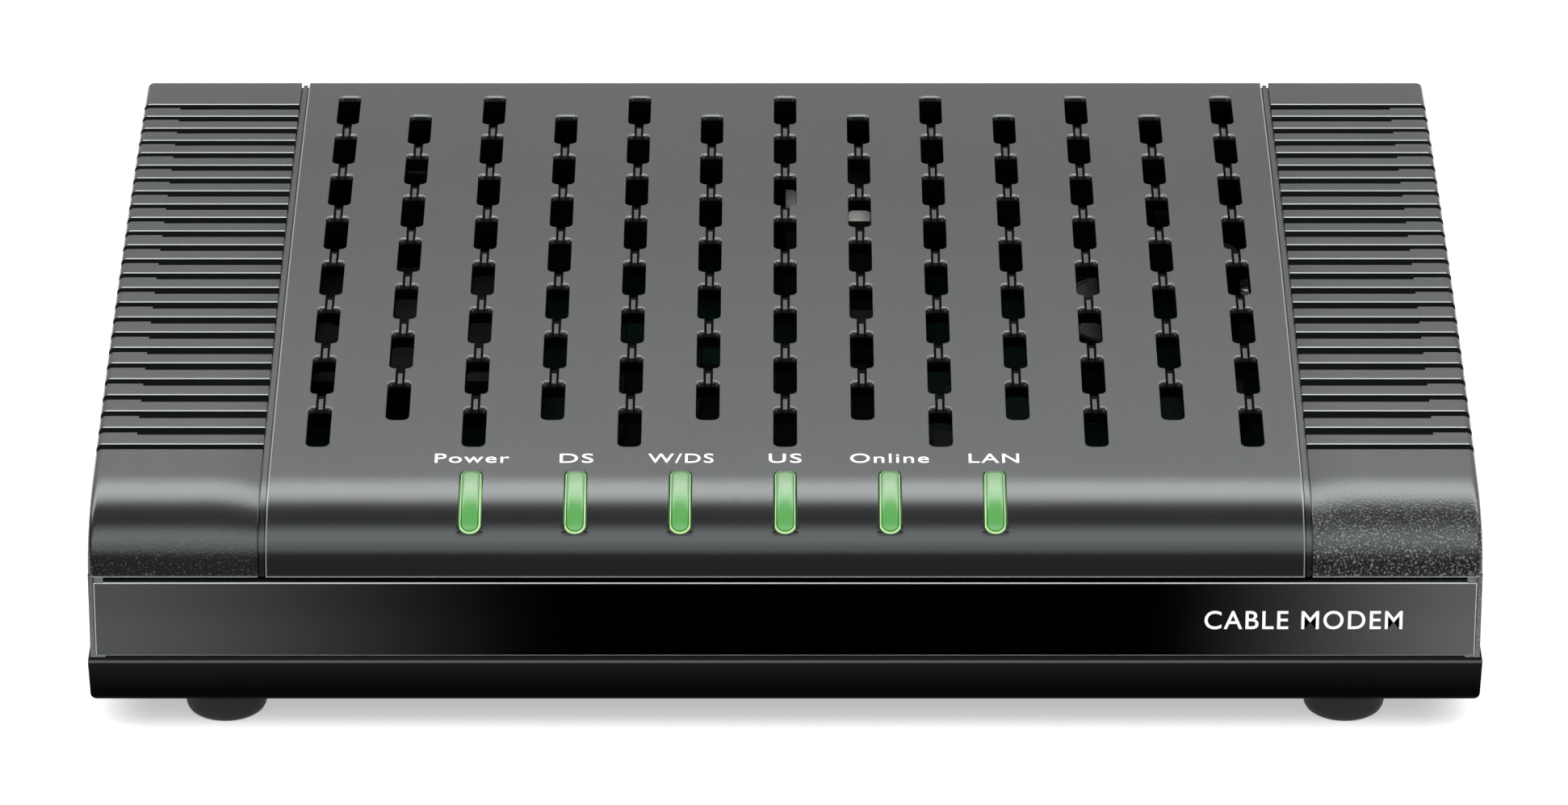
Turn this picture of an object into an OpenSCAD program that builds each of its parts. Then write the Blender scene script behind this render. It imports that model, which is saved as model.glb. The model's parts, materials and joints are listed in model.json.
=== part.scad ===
// Desktop cable modem: a vented top cover, a shallow base tray and two slide-in
// panels, closed round a circuit board with its connectors, light pipe and chips.
// +X is the object's right seen from the front, +Y runs to the back, +Z is up.
// The origin is the middle of the bounding box, on the plane that the feet stand on.

/* [Case] */
// Width of the top cover at its lower edge
cover_w = 165.2; // [160:0.2:176]
// Depth of the case without the coax connector
case_d = 115; // [115:1:125]
// Height of the base tray's side
tray_h = 5.6; // [5:0.2:7]
// Height of the opening between the tray's side and the cover's front lip
gap_h = 11.04; // [10.5:0.02:12]
// Rise of the cover from its front lip to its crest
crown_rise = 13.95; // [13.5:0.05:16]
// Radius of the cover's long, shallow crown
crown_r = 780; // [700:10:900]
// Wall thickness of the cover's top
wall = 2; // [1.8:0.1:2.2]

/* [Vents] */
// Number of vent columns
vent_cols = 13; // [9:2:13]
// Number of slots in the first column
vent_rows = 8; // [4:1:8]
// Distance between vent columns
vent_pitch_x = 9.335; // [9:0.005:9.6]
// Distance between slots in one column
vent_pitch_y = 12.03; // [12:0.01:12.1]
// Width of a vent slot
vent_w = 2.9; // [2:0.1:3.4]
// Length of a vent slot
vent_len = 9.2; // [7:0.1:9.6]

/* [Ribs] */
// Number of grooves across each cheek
rib_grooves = 25; // [10:1:25]
// Distance between grooves
rib_pitch = 3.744; // [3.5:0.001:3.75]
// Half width of the vented centre field
field_half = 61.5; // [60:0.1:62]

/* [Indicators] */
// Number of indicator windows
led_count = 6; // [1:1:6]
// Distance between indicator windows
led_pitch = 12.46; // [10:0.02:12.6]
// Width of an indicator window
led_w = 2.54; // [2:0.02:3]

/* [Feet] */
// Height that the feet stand below the tray
foot_h = 4; // [3:0.1:5]
// Radius of a foot
foot_r = 4.9; // [4:0.1:5.5]

/* [Connectors] */
// Distance of the coax connector from the middle
coax_x = -48; // [-52:1:-40]
// Distance of the network jack from the middle
lan_x = 8; // [0:1:12]
// Distance of the reset switch from the middle
reset_x = 33; // [30:1:36]
// Distance of the power jack from the middle
power_x = 52; // [48:1:56]
// Radius of the coax connector's thread
coax_r = 4.7625; // [4.7625:0.0001:4.763]
// Length of free thread past the nut
coax_free = 8.5; // [7:0.1:10]

/* [Hidden] */
$fn = 48;
eps = 0.01;

// Heights
tray_z = foot_h;
floor_t = 2;
floor_z = tray_z + floor_t;
rim_z = tray_z + tray_h;
rim_rise = 0.5;
rim_in = 0.4;
seat_z = rim_z + rim_rise;
lip_z = rim_z + gap_h;
board_t = 1.6;
board_z = floor_z + 4;
board_top = board_z + board_t;

// Plan positions; the front face is at front_y
panel_t = 1.6;
panel_recess = 1;
washer_t = 0.6;
nut_t = 2.4;
coax_out = washer_t + nut_t + coax_free - panel_recess;
front_y = -(case_d + coax_out) / 2;
back_y = front_y + case_d;
panel_y = back_y - panel_recess;
half_w = cover_w / 2;
side_wall = 1.8;
side_draft = 0.15;
tray_half = half_w + 0.32;
tray_wall = 3.2;
tray_round = 1.3;
tray_draft = 0.16;

// Cover outline, in depth from the front and height above the lip
crest_u = 106;
nose_d = 11.6;
nose_rise = 5.2;
nose_run = 6.2;
nose_steps = 14;
crown_steps = 14;
function crown(u) = crown_rise - pow(u - crest_u, 2) / (2 * crown_r);
function slope(u) = (crest_u - u) / crown_r;
nose = [
    [0, 0],
    [0, nose_rise],
    [nose_d - nose_run, crown(nose_d) - nose_run * slope(nose_d)],
    [nose_d, crown(nose_d)]
];
function bezier(p, t) =
    pow(1 - t, 3) * p[0] + 3 * t * pow(1 - t, 2) * p[1] + 3 * t * t * (1 - t) * p[2] + pow(t, 3) * p[3];
function bezier_dir(p, t) =
    pow(1 - t, 2) * (p[1] - p[0]) + 2 * t * (1 - t) * (p[2] - p[1]) + t * t * (p[3] - p[2]);
function inward(d) = [d[1], -d[0]] / norm(d);
function nose_point(t, inset) = bezier(nose, t) + inset * inward(bezier_dir(nose, t));
function crown_point(u, inset) = [u, crown(u)] + inset * inward([1, slope(u)]);
function outline(inset, t0 = 0, u1 = case_d) = concat(
    [for (i = [0:nose_steps]) nose_point(t0 + (1 - t0) * i / nose_steps, inset)],
    [for (i = [1:crown_steps]) crown_point(nose_d + (u1 - nose_d) * i / crown_steps, inset)]
);
function reversed(points) = [for (i = [len(points) - 1:-1:0]) points[i]];

// Vents: the front end of the first slot, and the shallow channel that joins a column
vent_front = 17.2;
channel_w = 1;
channel_depth = 0.7;

// Cheeks: seam groove beside the field, and cross grooves wider near the middle
seam_w = 0.95;
seam_depth = 0.45;
rib_front = 17.95;
rib_depth = 0.95;
rib_gap = 1.7;
rib_gap_outer = 1.2;
rib_gap_first = 1.2;
rib_step_x = 77.8;

// Indicator windows, as places along the nose curve
led_t0 = 0.475;
led_t1 = 0.953;
led_gap = 0.06;
led_proud = 0.12;
led_u = 8.6;
led_bar_z = 21.5;

// Cover bosses and tray posts
boss_x = 72;
boss_u = [22, 96];
boss_r = 3.4;
post_r = 4.6;
post_top = board_z;
screw_r = 1.35;
pilot_r = 1.4;
head_r = 2.7;
head_h = 2;
recess_r = 3.3;
recess_top = tray_z + 3.5;
standoff_x = 60;
standoff_u = [13, 98];
standoff_r = 3.2;

// Feet and wall keyholes
foot_x = 67;
foot_u = [7.2, case_d - 7.2];
foot_inset = 0.6;
keyhole_x = 45;
keyhole_u = 60;
keyhole_r = 3.6;
keyhole_slot_r = 1.9;
keyhole_run = 8;

// Board
board_half = 66;
board_u0 = 5.5;
board_u1 = case_d - 4.4;

// Connector axes
coax_z = board_top + 9.4;
power_z = board_top + 6.5;
reset_z = board_top + 3.6;
lan_w = 15.4;
lan_h = 13;
lan_d = 21;
lan_face = back_y - 0.8;
reset_r = 1.6;
reset_face = panel_y - panel_t - 0.4;
reset_body_d = 3.6;
reset_body_w = 6.4;
power_face = panel_y;
power_bore_r = 3.1;
power_bore_d = 9.5;
power_pin_r = 1;
power_pin_len = 8.9;
power_stem_r = 0.8;
power_stem_d = 12.4;

// Turns an outline drawn as [depth, height] into a prism of width w along X
module x_prism(points, w, x = 0) {
    translate([x, 0, 0]) rotate([90, 0, 90]) linear_extrude(w, center = true) polygon(points);
}
// The same for an outline in case depth and height above the lip
module case_prism(points, w, x = 0) {
    translate([0, front_y, lip_z]) x_prism(points, w, x);
}
// Cylinder that lies along Y, from y0 to y1
module y_rod(r, y0, y1, x = 0, z = 0, r2 = undef) {
    translate([x, y0, z]) rotate([-90, 0, 0])
        cylinder(h = y1 - y0, r1 = r, r2 = is_undef(r2) ? r : r2);
}
// Block from its low corner to its high corner
module block(low, high) {
    translate(low) cube(high - low);
}
// Rounded slot in plan, with its straight run along Y
module slot_2d(w, len) {
    for (s = [-1, 1]) translate([0, s * (len - w) / 2]) circle(d = w);
    square([w, len - w], center = true);
}
module at_corners(x, us) {
    for (s = [-1, 1], u = us) translate([s * x, front_y + u, 0]) children();
}

module cover_solid() {
    deep = outline(0);
    intersection() {
        case_prism(concat(deep, [[case_d, seat_z - lip_z], [0, seat_z - lip_z]]), cover_w);
        translate([0, back_y + 1, 0]) rotate([90, 0, 0]) linear_extrude(case_d + 2)
            polygon([
                [-half_w, seat_z], [half_w, seat_z], [half_w, lip_z],
                [half_w - side_draft, lip_z + crown_rise + 1],
                [-half_w + side_draft, lip_z + crown_rise + 1], [-half_w, lip_z]
            ]);
    }
}
module cover_cavity() {
    inner = outline(wall, u1 = case_d + 1);
    case_prism(
        concat(inner, [[case_d + 3, seat_z - lip_z - 3], [-3, seat_z - lip_z - 3], [-3, -eps], [wall, -eps]]),
        cover_w - 2 * side_wall
    );
    block([-half_w + 0.55, front_y - 1, seat_z - 1], [half_w - 0.55, front_y + 1.5, lip_z]);
    block([-half_w - 1, front_y - 1, seat_z - 1], [half_w + 1, front_y + 0.3, lip_z]);
}
module vent_cutters() {
    mid = (vent_cols - 1) / 2;
    translate([0, 0, lip_z]) linear_extrude(crown_rise + 2)
        for (c = [0:vent_cols - 1], r = [0:vent_rows - 1 - c % 2])
            translate([
                (c - mid) * vent_pitch_x,
                front_y + vent_front + vent_len / 2 + (r + (c % 2) / 2) * vent_pitch_y
            ]) slot_2d(vent_w, vent_len);
}
// The channel that joins the slots of a column, and the seams beside the field
module surface_cutters() {
    mid = (vent_cols - 1) / 2;
    above = 1;
    for (c = [0:vent_cols - 1]) {
        u0 = vent_front + vent_len / 2 + (c % 2) * vent_pitch_y / 2;
        u1 = u0 + (vent_rows - 1 - c % 2) * vent_pitch_y;
        case_prism(
            [for (i = [0:8]) let (u = u0 + (u1 - u0) * i / 8) [u, crown(u) - channel_depth],
             for (i = [8:-1:0]) let (u = u0 + (u1 - u0) * i / 8) [u, crown(u) + above]],
            channel_w, (c - mid) * vent_pitch_x
        );
    }
    lower = outline(seam_depth);
    for (s = [-1, 1])
        case_prism(
            concat([[seam_depth, -1]], lower, [[case_d + 1, crown(case_d) - seam_depth],
                [case_d + 1, crown_rise + above], [-1, crown_rise + above], [-1, -1]]),
            seam_w, s * (field_half + seam_w / 2)
        );
}
// Plan of one cross groove: wide beside the field, narrow past the step
module rib_groove(wide, narrow) {
    inner = field_half + seam_w - eps;
    outer = half_w + 1;
    polygon([[inner, 0], [outer, 0], [outer, -narrow], [rib_step_x, -narrow], [rib_step_x, -wide], [inner, -wide]]);
}
module rib_cutters() {
    for (k = [0:rib_grooves - 1], s = [0, 1]) mirror([s, 0, 0])
        translate([0, front_y + rib_front + k * rib_pitch, lip_z + crown(rib_front + k * rib_pitch) - rib_depth])
            linear_extrude(4) rib_groove(k == 0 ? rib_gap_first : rib_gap, k == 0 ? rib_gap_first - 0.1 : rib_gap_outer);
}
// One indicator shape through the nose: a slot square to the chord of the curve
module led_prism(grow) {
    p = nose_point(led_t0, 0);
    q = nose_point(led_t1, 0);
    mid = (p + q) / 2;
    translate([0, front_y + mid[0], lip_z + mid[1]]) rotate([atan2(q[1] - p[1], q[0] - p[0]), 0, 0])
        linear_extrude(8, center = true) slot_2d(led_w + 2 * grow, norm(q - p) + led_w + 2 * grow);
}
module led_lens() {
    intersection() {
        led_prism(0);
        case_prism(concat(outline(-led_proud, 0.2, 20), reversed(outline(wall + 0.5, 0.2, 20))), led_w + 2);
    }
}
module at_leds() {
    for (i = [0:led_count - 1]) translate([(i - 3) * led_pitch, 0, 0]) children();
}
module cover_bosses() {
    for (s = [-1, 1], u = boss_u) translate([s * boss_x, front_y + u, post_top])
        cylinder(h = lip_z + crown(u) - wall * 0.7 - post_top, r = boss_r);
}
module top_cover() {
    color("#4a4c4d") difference() {
        union() {
            difference() {
                cover_solid();
                cover_cavity();
            }
            cover_bosses();
        }
        at_corners(boss_x, boss_u) translate([0, 0, post_top - 1]) cylinder(h = 12, r = pilot_r);
        vent_cutters();
        surface_cutters();
        rib_cutters();
        at_leds() led_prism(led_gap);
    }
}

// Side outline of the tray: drafted, with a rounded lower edge and a chamfered rim
function tray_side(half) = let (low = half - tray_draft - tray_round) concat(
    [for (a = [0:15:90]) [low + tray_round * sin(a), tray_z + tray_round * (1 - cos(a))]],
    [[half, rim_z], [half - rim_in, seat_z]]
);
function mirrored(points) = concat(points, [for (p = reversed(points)) [-p[0], p[1]]]);
module tray_solid() {
    intersection() {
        translate([0, back_y + 1, 0]) rotate([90, 0, 0]) linear_extrude(case_d + 2)
            polygon(mirrored(tray_side(tray_half)));
        translate([0, (front_y + back_y) / 2, 0])
            x_prism(mirrored(tray_side(case_d / 2)), 2 * tray_half + 2);
    }
}
module tray_tongue() {
    out = half_w - side_wall - 0.2;
    difference() {
        block([-out, front_y + 3.4, floor_z], [out, panel_y - panel_t - 0.5, seat_z + 2]);
        block([-out + 1, front_y + 4.4, floor_z - 1], [out - 1, panel_y - panel_t - 1.5, seat_z + 3]);
        block([-out + 12, panel_y - panel_t - 2, seat_z - 2], [out - 12, panel_y, seat_z + 3]);
    }
}
module keyhole() {
    translate([0, 0, tray_z - 1]) {
        cylinder(h = floor_t + 2, r = keyhole_r);
        translate([0, keyhole_run, 0]) cylinder(h = floor_t + 2, r = keyhole_slot_r);
        translate([-keyhole_slot_r, 0, 0]) cube([2 * keyhole_slot_r, keyhole_run, floor_t + 2]);
    }
}
module base_tray() {
    inner = half_w - side_wall - 1.2;
    color("#18191a") difference() {
        union() {
            difference() {
                tray_solid();
                block([-inner, front_y + 4.4, floor_z], [inner, panel_y - panel_t - 1.5, seat_z + 9]);
            }
            tray_tongue();
            at_corners(boss_x, boss_u) translate([0, 0, tray_z + 1]) cylinder(h = post_top - tray_z - 1, r = post_r);
            at_corners(standoff_x, standoff_u)
                translate([0, 0, tray_z + 1]) cylinder(h = board_z - tray_z - 1, r = standoff_r);
        }
        // slot for the rear panel
        block([-half_w + side_wall + 0.05, panel_y - panel_t - 0.1, tray_z + 4],
              [half_w - side_wall - 0.05, panel_y + 0.1, seat_z + 9]);
        // screw recesses under the posts
        at_corners(boss_x, boss_u) translate([0, 0, tray_z - 1]) {
            cylinder(h = recess_top - tray_z + 1, r = recess_r);
            cylinder(h = post_top - tray_z + 2, r = pilot_r + 0.25);
        }
        at_corners(standoff_x, standoff_u)
            translate([0, 0, floor_z - 0.5]) cylinder(h = 6, r = pilot_r);
        at_corners(foot_x, foot_u) translate([0, 0, tray_z - 1]) cylinder(h = 1 + foot_inset, r = foot_r + 0.15);
        for (s = [-1, 1]) translate([s * keyhole_x, front_y + keyhole_u, 0]) keyhole();
        // air inlets in the floor
        translate([0, 0, tray_z - 1]) linear_extrude(floor_t + 2)
            for (i = [-4:4], u = [26, 92]) translate([i * 7, front_y + u]) slot_2d(2.4, 18);
    }
}

fascia_z0 = seat_z + 0.1;
fascia_z1 = lip_z - 0.75;
module gloss_fascia() {
    color("#0a0a0b")
        block([-half_w + 0.65, front_y + 0.45, fascia_z0], [half_w - 0.65, front_y + 1.45, fascia_z1]);
}
module front_bezel() {
    half = half_w - side_wall - 0.25;
    color("#141415") {
        block([-half, front_y + 1.47, fascia_z0], [half, front_y + 3.3, lip_z - 0.2]);
        block([-half, front_y + 2.9, lip_z - 0.3], [half, front_y + 3.9, lip_z + 1.6]);
        for (s = [-1, 1], x = [20, 60])
            block([s * x - 1, front_y + 3.2, seat_z + 2.4], [s * x + 1, front_y + 6.5, lip_z - 1]);
    }
}
module rear_panel() {
    half = half_w - side_wall - 0.2;
    color("#1b1c1d") difference() {
        block([-half, panel_y - panel_t, tray_z + 4.1], [half, panel_y, lip_z + crown(case_d) - wall - 0.15]);
        y_rod(coax_r + 0.25, panel_y - 3, panel_y + 1, coax_x, coax_z);
        y_rod(4.3, panel_y - 3, panel_y + 1, power_x, power_z);
        y_rod(1.3, panel_y - 3, panel_y + 1, reset_x, reset_z);
        block([lan_x - lan_w / 2 - 0.5, panel_y - 3, board_top - 0.1],
              [lan_x + lan_w / 2 + 0.5, panel_y + 1, board_top + lan_h + 0.6]);
    }
}

// One moulding: six curved windows on posts that rise from a common bar
module light_pipe() {
    color("#58c24a") {
        at_leds() {
            led_lens();
            difference() {
                block([-1, front_y + led_u - 1.2, board_top + 1.4],
                      [1, front_y + led_u + 1.2, lip_z + crown(nose_d) - 1]);
                case_prism(concat(outline(wall + 0.1), [[case_d, 30], [-9, 30], [-9, 0]]), 6);
            }
        }
        block([-3 * led_pitch - 1, front_y + led_u - 1.2, led_bar_z],
              [2 * led_pitch + 1, front_y + led_u + 1.2, led_bar_z + 2]);
    }
}
module led_emitters() {
    color("#e8e6c8") at_leds()
        block([-0.8, front_y + led_u - 0.8, board_top], [0.8, front_y + led_u + 0.8, board_top + 0.9]);
}

// Rubber foot: a stepped disc with a coned lower edge, stuck in a shallow recess
module foot() {
    color("#0e0e0f") rotate_extrude()
        polygon([
            [0, 0], [foot_r - 0.7, 0], [foot_r - 0.2, 0.5], [foot_r, 1.4],
            [foot_r, tray_z + foot_inset], [0, tray_z + foot_inset]
        ]);
}
module foot_at(s, u) {
    translate([s * foot_x, front_y + u, 0]) foot();
}
module foot_front_left() { foot_at(-1, foot_u[0]); }
module foot_front_right() { foot_at(1, foot_u[0]); }
module foot_rear_left() { foot_at(-1, foot_u[1]); }
module foot_rear_right() { foot_at(1, foot_u[1]); }

// Pan-head screw that stands on its thread end, head at the bottom, with a cross recess
module screw(len) {
    difference() {
        union() {
            cylinder(h = head_h, r1 = head_r - 0.4, r2 = head_r);
            translate([0, 0, head_h - eps]) cylinder(h = len, r = screw_r);
            translate([0, 0, head_h + len - eps]) cylinder(h = 0.8, r1 = screw_r, r2 = 0.5);
        }
        for (a = [0, 90]) rotate(a) translate([-1.5, -0.3, -eps]) cube([3, 0.6, 1.1]);
    }
}
module case_screws() {
    color("#8f9092") at_corners(boss_x, boss_u) translate([0, 0, recess_top - head_h]) screw(8);
}
module board_screws() {
    color("#a9aaac") at_corners(standoff_x, standoff_u)
        translate([0, 0, board_top + head_h]) mirror([0, 0, 1]) screw(3.6);
}
module rating_label() {
    color("#d9d9d6") block([-28, front_y + 46, tray_z - 0.15], [28, front_y + 74, tray_z]);
}

module main_board() {
    color("#1f5a34") difference() {
        block([-board_half, front_y + board_u0, board_z], [board_half, front_y + board_u1, board_top]);
        at_corners(standoff_x, standoff_u) translate([0, 0, board_z - 1]) cylinder(h = 4, r = 1.7);
    }
}

// Coax connector: block and flange behind the panel, one threaded barrel through it
coax_end = back_y + coax_out;
coax_block = panel_y - panel_t - 10;
coax_thread_y = panel_y + washer_t + nut_t;
thread_relief = 0.5;
module coax_connector() {
    color("#c9c6bd") difference() {
        union() {
            block([coax_x - 7, coax_block, board_top], [coax_x + 7, panel_y - panel_t - 1.2, coax_z + 6.5]);
            y_rod(6.4, panel_y - panel_t - 1.3, panel_y - panel_t, coax_x, coax_z);
            y_rod(coax_r - thread_relief, panel_y - panel_t - 1, coax_thread_y + eps, coax_x, coax_z);
            y_rod(coax_r, coax_thread_y, coax_end - 0.6, coax_x, coax_z);
            y_rod(coax_r, coax_end - 0.6, coax_end, coax_x, coax_z, coax_r - 0.6);
        }
        y_rod(3.2, coax_end - 11, coax_end + 1, coax_x, coax_z);
    }
}
module coax_insulator() {
    color("#efece2") difference() {
        y_rod(3.18, coax_end - 10.95, coax_end - 0.9, coax_x, coax_z);
        y_rod(1.1, coax_end - 12, coax_end, coax_x, coax_z);
    }
}
module coax_contact() {
    color("#c8a24a") difference() {
        y_rod(1.05, coax_end - 10.9, coax_end - 2.6, coax_x, coax_z);
        y_rod(0.6, coax_end - 9, coax_end, coax_x, coax_z);
    }
}
module coax_nut() {
    color("#b9b6ad") difference() {
        translate([coax_x, panel_y + washer_t, coax_z]) rotate([-90, 0, 0]) cylinder(h = nut_t, r = 6.9, $fn = 6);
        y_rod(coax_r + 0.06, panel_y, panel_y + 5, coax_x, coax_z);
    }
}
module coax_washer() {
    color("#a8a7a2") difference() {
        y_rod(7.2, panel_y, panel_y + washer_t, coax_x, coax_z);
        y_rod(coax_r + 0.1, panel_y - 1, panel_y + 2, coax_x, coax_z);
    }
}

// Tuner shield: a folded frame soldered to the board with a lid clipped over it
shield_x = -46;
shield_u0 = 60;
shield_u1 = 93;
shield_half = 15;
shield_h = 6;
module tuner_shield_frame() {
    color("#b7b8b6") difference() {
        block([shield_x - shield_half, front_y + shield_u0, board_top],
              [shield_x + shield_half, front_y + shield_u1, board_top + shield_h]);
        block([shield_x - shield_half + 0.4, front_y + shield_u0 + 0.4, board_top - 1],
              [shield_x + shield_half - 0.4, front_y + shield_u1 - 0.4, board_top + shield_h + 1]);
    }
}
module tuner_shield_lid() {
    color("#c3c4c2") difference() {
        block([shield_x - shield_half - 0.4, front_y + shield_u0 - 0.4, board_top + 3],
              [shield_x + shield_half + 0.4, front_y + shield_u1 + 0.4, board_top + shield_h + 0.5]);
        block([shield_x - shield_half - 0.05, front_y + shield_u0 - 0.05, board_top],
              [shield_x + shield_half + 0.05, front_y + shield_u1 + 0.05, board_top + shield_h + 0.05]);
        for (i = [-2:2]) translate([shield_x + i * 5, front_y + (shield_u0 + shield_u1) / 2, board_top])
            cylinder(h = 9, r = 0.9);
    }
}
module chip(x, u, w, d, h) {
    block([x - w / 2, front_y + u - d / 2, board_top], [x + w / 2, front_y + u + d / 2, board_top + h]);
}
module tuner_chip() {
    color("#26282a") chip(shield_x, (shield_u0 + shield_u1) / 2, 9, 9, 1.1);
}

// Network jack: moulded housing with the latch keyway below, a tin shield and eight wires
lan_cavity_w = 11.8;
lan_cavity_z = board_top + 4.7;
lan_cavity_top = lan_cavity_z + 7.2;
module lan_cavity(grow = 0) {
    block([lan_x - lan_cavity_w / 2 - grow, lan_face - 12.5, lan_cavity_z - grow],
          [lan_x + lan_cavity_w / 2 + grow, lan_face + 1, lan_cavity_top + grow]);
    block([lan_x - 3.1 - grow, lan_face - 12.5, lan_cavity_z - 1.8 - grow],
          [lan_x + 3.1 + grow, lan_face + 1, lan_cavity_z + 1]);
    block([lan_x - 1.7 - grow, lan_face - 12.5, lan_cavity_z - 3.2 - grow],
          [lan_x + 1.7 + grow, lan_face + 1, lan_cavity_z]);
}
module lan_jack_housing() {
    color("#202123") difference() {
        block([lan_x - lan_w / 2, lan_face - lan_d, board_top], [lan_x + lan_w / 2, lan_face - 0.3, board_top + lan_h]);
        lan_cavity();
        block([lan_x - 4.6, lan_face - 17, lan_cavity_top - 2.2], [lan_x + 4.6, lan_face - 12, lan_cavity_top]);
    }
}
module lan_jack_shield() {
    t = 0.25;
    color("#bfc0c1") difference() {
        block([lan_x - lan_w / 2 - t, lan_face - lan_d - t, board_top],
              [lan_x + lan_w / 2 + t, lan_face, board_top + lan_h + t]);
        block([lan_x - lan_w / 2 - 0.02, lan_face - lan_d - 0.02, board_top - 1],
              [lan_x + lan_w / 2 + 0.02, lan_face - 0.28, board_top + lan_h + 0.02]);
        lan_cavity(0.15);
    }
}
// Each wire slopes down into the cavity and runs back to a straight tail
module lan_jack_contacts() {
    wire = 0.35;
    top = lan_cavity_top;
    points = [
        [-17, top], [-12, top], [-3, top - 2.2],
        [-3, top - 2.2 - wire], [-12.2, top - wire], [-17, top - wire]
    ];
    color("#d4a63c") for (i = [0:7])
        translate([0, lan_face, 0]) x_prism(points, wire, lan_x + (i - 3.5) * 1.02);
}
module lan_transformer() {
    color("#1c1c1e") chip(lan_x, 78, 12.7, 9.5, 5.6);
}

// Power jack: square body with a round nose, a centre pin and a spring leaf
module power_jack_housing() {
    color("#161617") difference() {
        union() {
            block([power_x - 4.5, power_face - 14, board_top], [power_x + 4.5, panel_y - panel_t - 0.1, board_top + 11]);
            y_rod(4.1, panel_y - panel_t - 1, power_face, power_x, power_z);
        }
        y_rod(power_bore_r, power_face - power_bore_d, power_face + 1, power_x, power_z);
        y_rod(power_stem_r + 0.02, power_face - power_stem_d - 0.1, power_face, power_x, power_z);
        block([power_x - 1.3, power_face - 9, board_top - 1], [power_x + 1.3, power_face - 3, power_z]);
    }
}
module power_jack_pin() {
    tip = power_face - power_bore_d + power_pin_len;
    color("#c4c2ba") {
        y_rod(power_stem_r, power_face - power_stem_d, power_face - power_bore_d + eps, power_x, power_z);
        y_rod(power_pin_r, power_face - power_bore_d, tip - 0.4, power_x, power_z);
        y_rod(power_pin_r, tip - 0.4, tip, power_x, power_z, power_pin_r - 0.4);
    }
}
module power_jack_spring() {
    y = power_face - 9;
    z = power_z - power_bore_r;
    color("#c9a04a")
        x_prism([[y + 0.3, board_top], [y + 0.6, board_top], [y + 0.6, z + 0.2], [y + 5.6, z + 0.55],
                 [y + 5.6, z + 0.85], [y + 0.3, z + 0.5]], 2, power_x);
}

// Reset switch: body and steel front plate with a bore for the plunger
reset_body_y = reset_face - 3.4;
module reset_bore(r) {
    y_rod(r, reset_body_y - 2.7, reset_body_y + 1, reset_x, reset_z);
}
module reset_switch_body() {
    color("#1a1b1c") difference() {
        block([reset_x - reset_body_w / 2, reset_body_y - reset_body_d, board_top],
              [reset_x + reset_body_w / 2, reset_body_y - 0.32, board_top + 6.6]);
        reset_bore(reset_r + 0.6);
    }
}
module reset_switch_plate() {
    color("#b5b6b7") difference() {
        block([reset_x - reset_body_w / 2, reset_body_y - 0.3, board_top],
              [reset_x + reset_body_w / 2, reset_body_y, board_top + 6.6]);
        reset_bore(reset_r + 0.05);
    }
}
module reset_plunger() {
    color("#2d2e30") {
        y_rod(reset_r, reset_body_y - 1.9, reset_face, reset_x, reset_z);
        y_rod(reset_r + 0.25, reset_body_y - 1.9, reset_body_y - 0.8, reset_x, reset_z);
    }
}

processor_x = -4;
processor_u = 52;
processor_h = 2.2;
pad_t = 0.5;
module modem_processor() {
    color("#1d1f21") chip(processor_x, processor_u, 23, 23, processor_h);
}
module thermal_pad() {
    color("#9aa0a6") translate([0, 0, processor_h]) chip(processor_x, processor_u, 21, 21, pad_t);
}
module heat_sink() {
    fins = 8;
    size = 34;
    fin_t = 1.2;
    color("#2b2d2f") translate([0, 0, processor_h + pad_t]) {
        chip(processor_x, processor_u, size, size, 1.8);
        for (i = [0:fins - 1])
            translate([0, 0, 1.7]) chip(
                processor_x - size / 2 + fin_t / 2 + i * (size - fin_t) / (fins - 1), processor_u, fin_t, size, 6.4
            );
    }
}
module memory_chip() {
    color("#222426") chip(24, 50, 11.5, 13.5, 1.1);
}
module flash_chip() {
    color("#232527") chip(26, 30, 5.3, 5.3, 1.8);
}
module crystal_can() {
    color("#c2c3c1") translate([-30, front_y + 46, board_top]) linear_extrude(3.5) {
        square([4.6, 6.6], center = true);
        for (s = [-1, 1]) translate([0, s * 3.3]) circle(d = 4.6);
    }
}
module power_inductors() {
    color("#3a3b3d") for (u = [62, 74]) chip(54, u, 7.3, 7.3, 4);
}
module bulk_capacitors() {
    color("#23272b") for (p = [[40, 66], [40, 77], [54, 88]])
        translate([p[0], front_y + p[1], board_top]) {
            cylinder(h = 10.6, r = 4);
            translate([0, 0, 10.6 - eps]) cylinder(h = 0.4 + eps, r1 = 4, r2 = 3.6);
        }
}

top_cover();
base_tray();
front_bezel();
gloss_fascia();
rear_panel();
light_pipe();
foot_front_left();
foot_front_right();
foot_rear_left();
foot_rear_right();
case_screws();
board_screws();
rating_label();
main_board();
led_emitters();
coax_connector();
coax_insulator();
coax_contact();
coax_nut();
coax_washer();
tuner_shield_frame();
tuner_shield_lid();
tuner_chip();
lan_jack_housing();
lan_jack_shield();
lan_jack_contacts();
lan_transformer();
power_jack_housing();
power_jack_pin();
power_jack_spring();
reset_switch_body();
reset_switch_plate();
reset_plunger();
modem_processor();
thermal_pad();
heat_sink();
memory_chip();
flash_chip();
crystal_can();
power_inductors();
bulk_capacitors();
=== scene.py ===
"""Looks of a desktop cable modem, built round its fixed CAD frame.

Lengths are millimetres until a mesh is finished, and metres in the scene.
"""

import json
import math

import bmesh
import bpy
import numpy as np
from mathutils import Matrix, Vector
from mathutils.geometry import delaunay_2d_cdt

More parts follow.
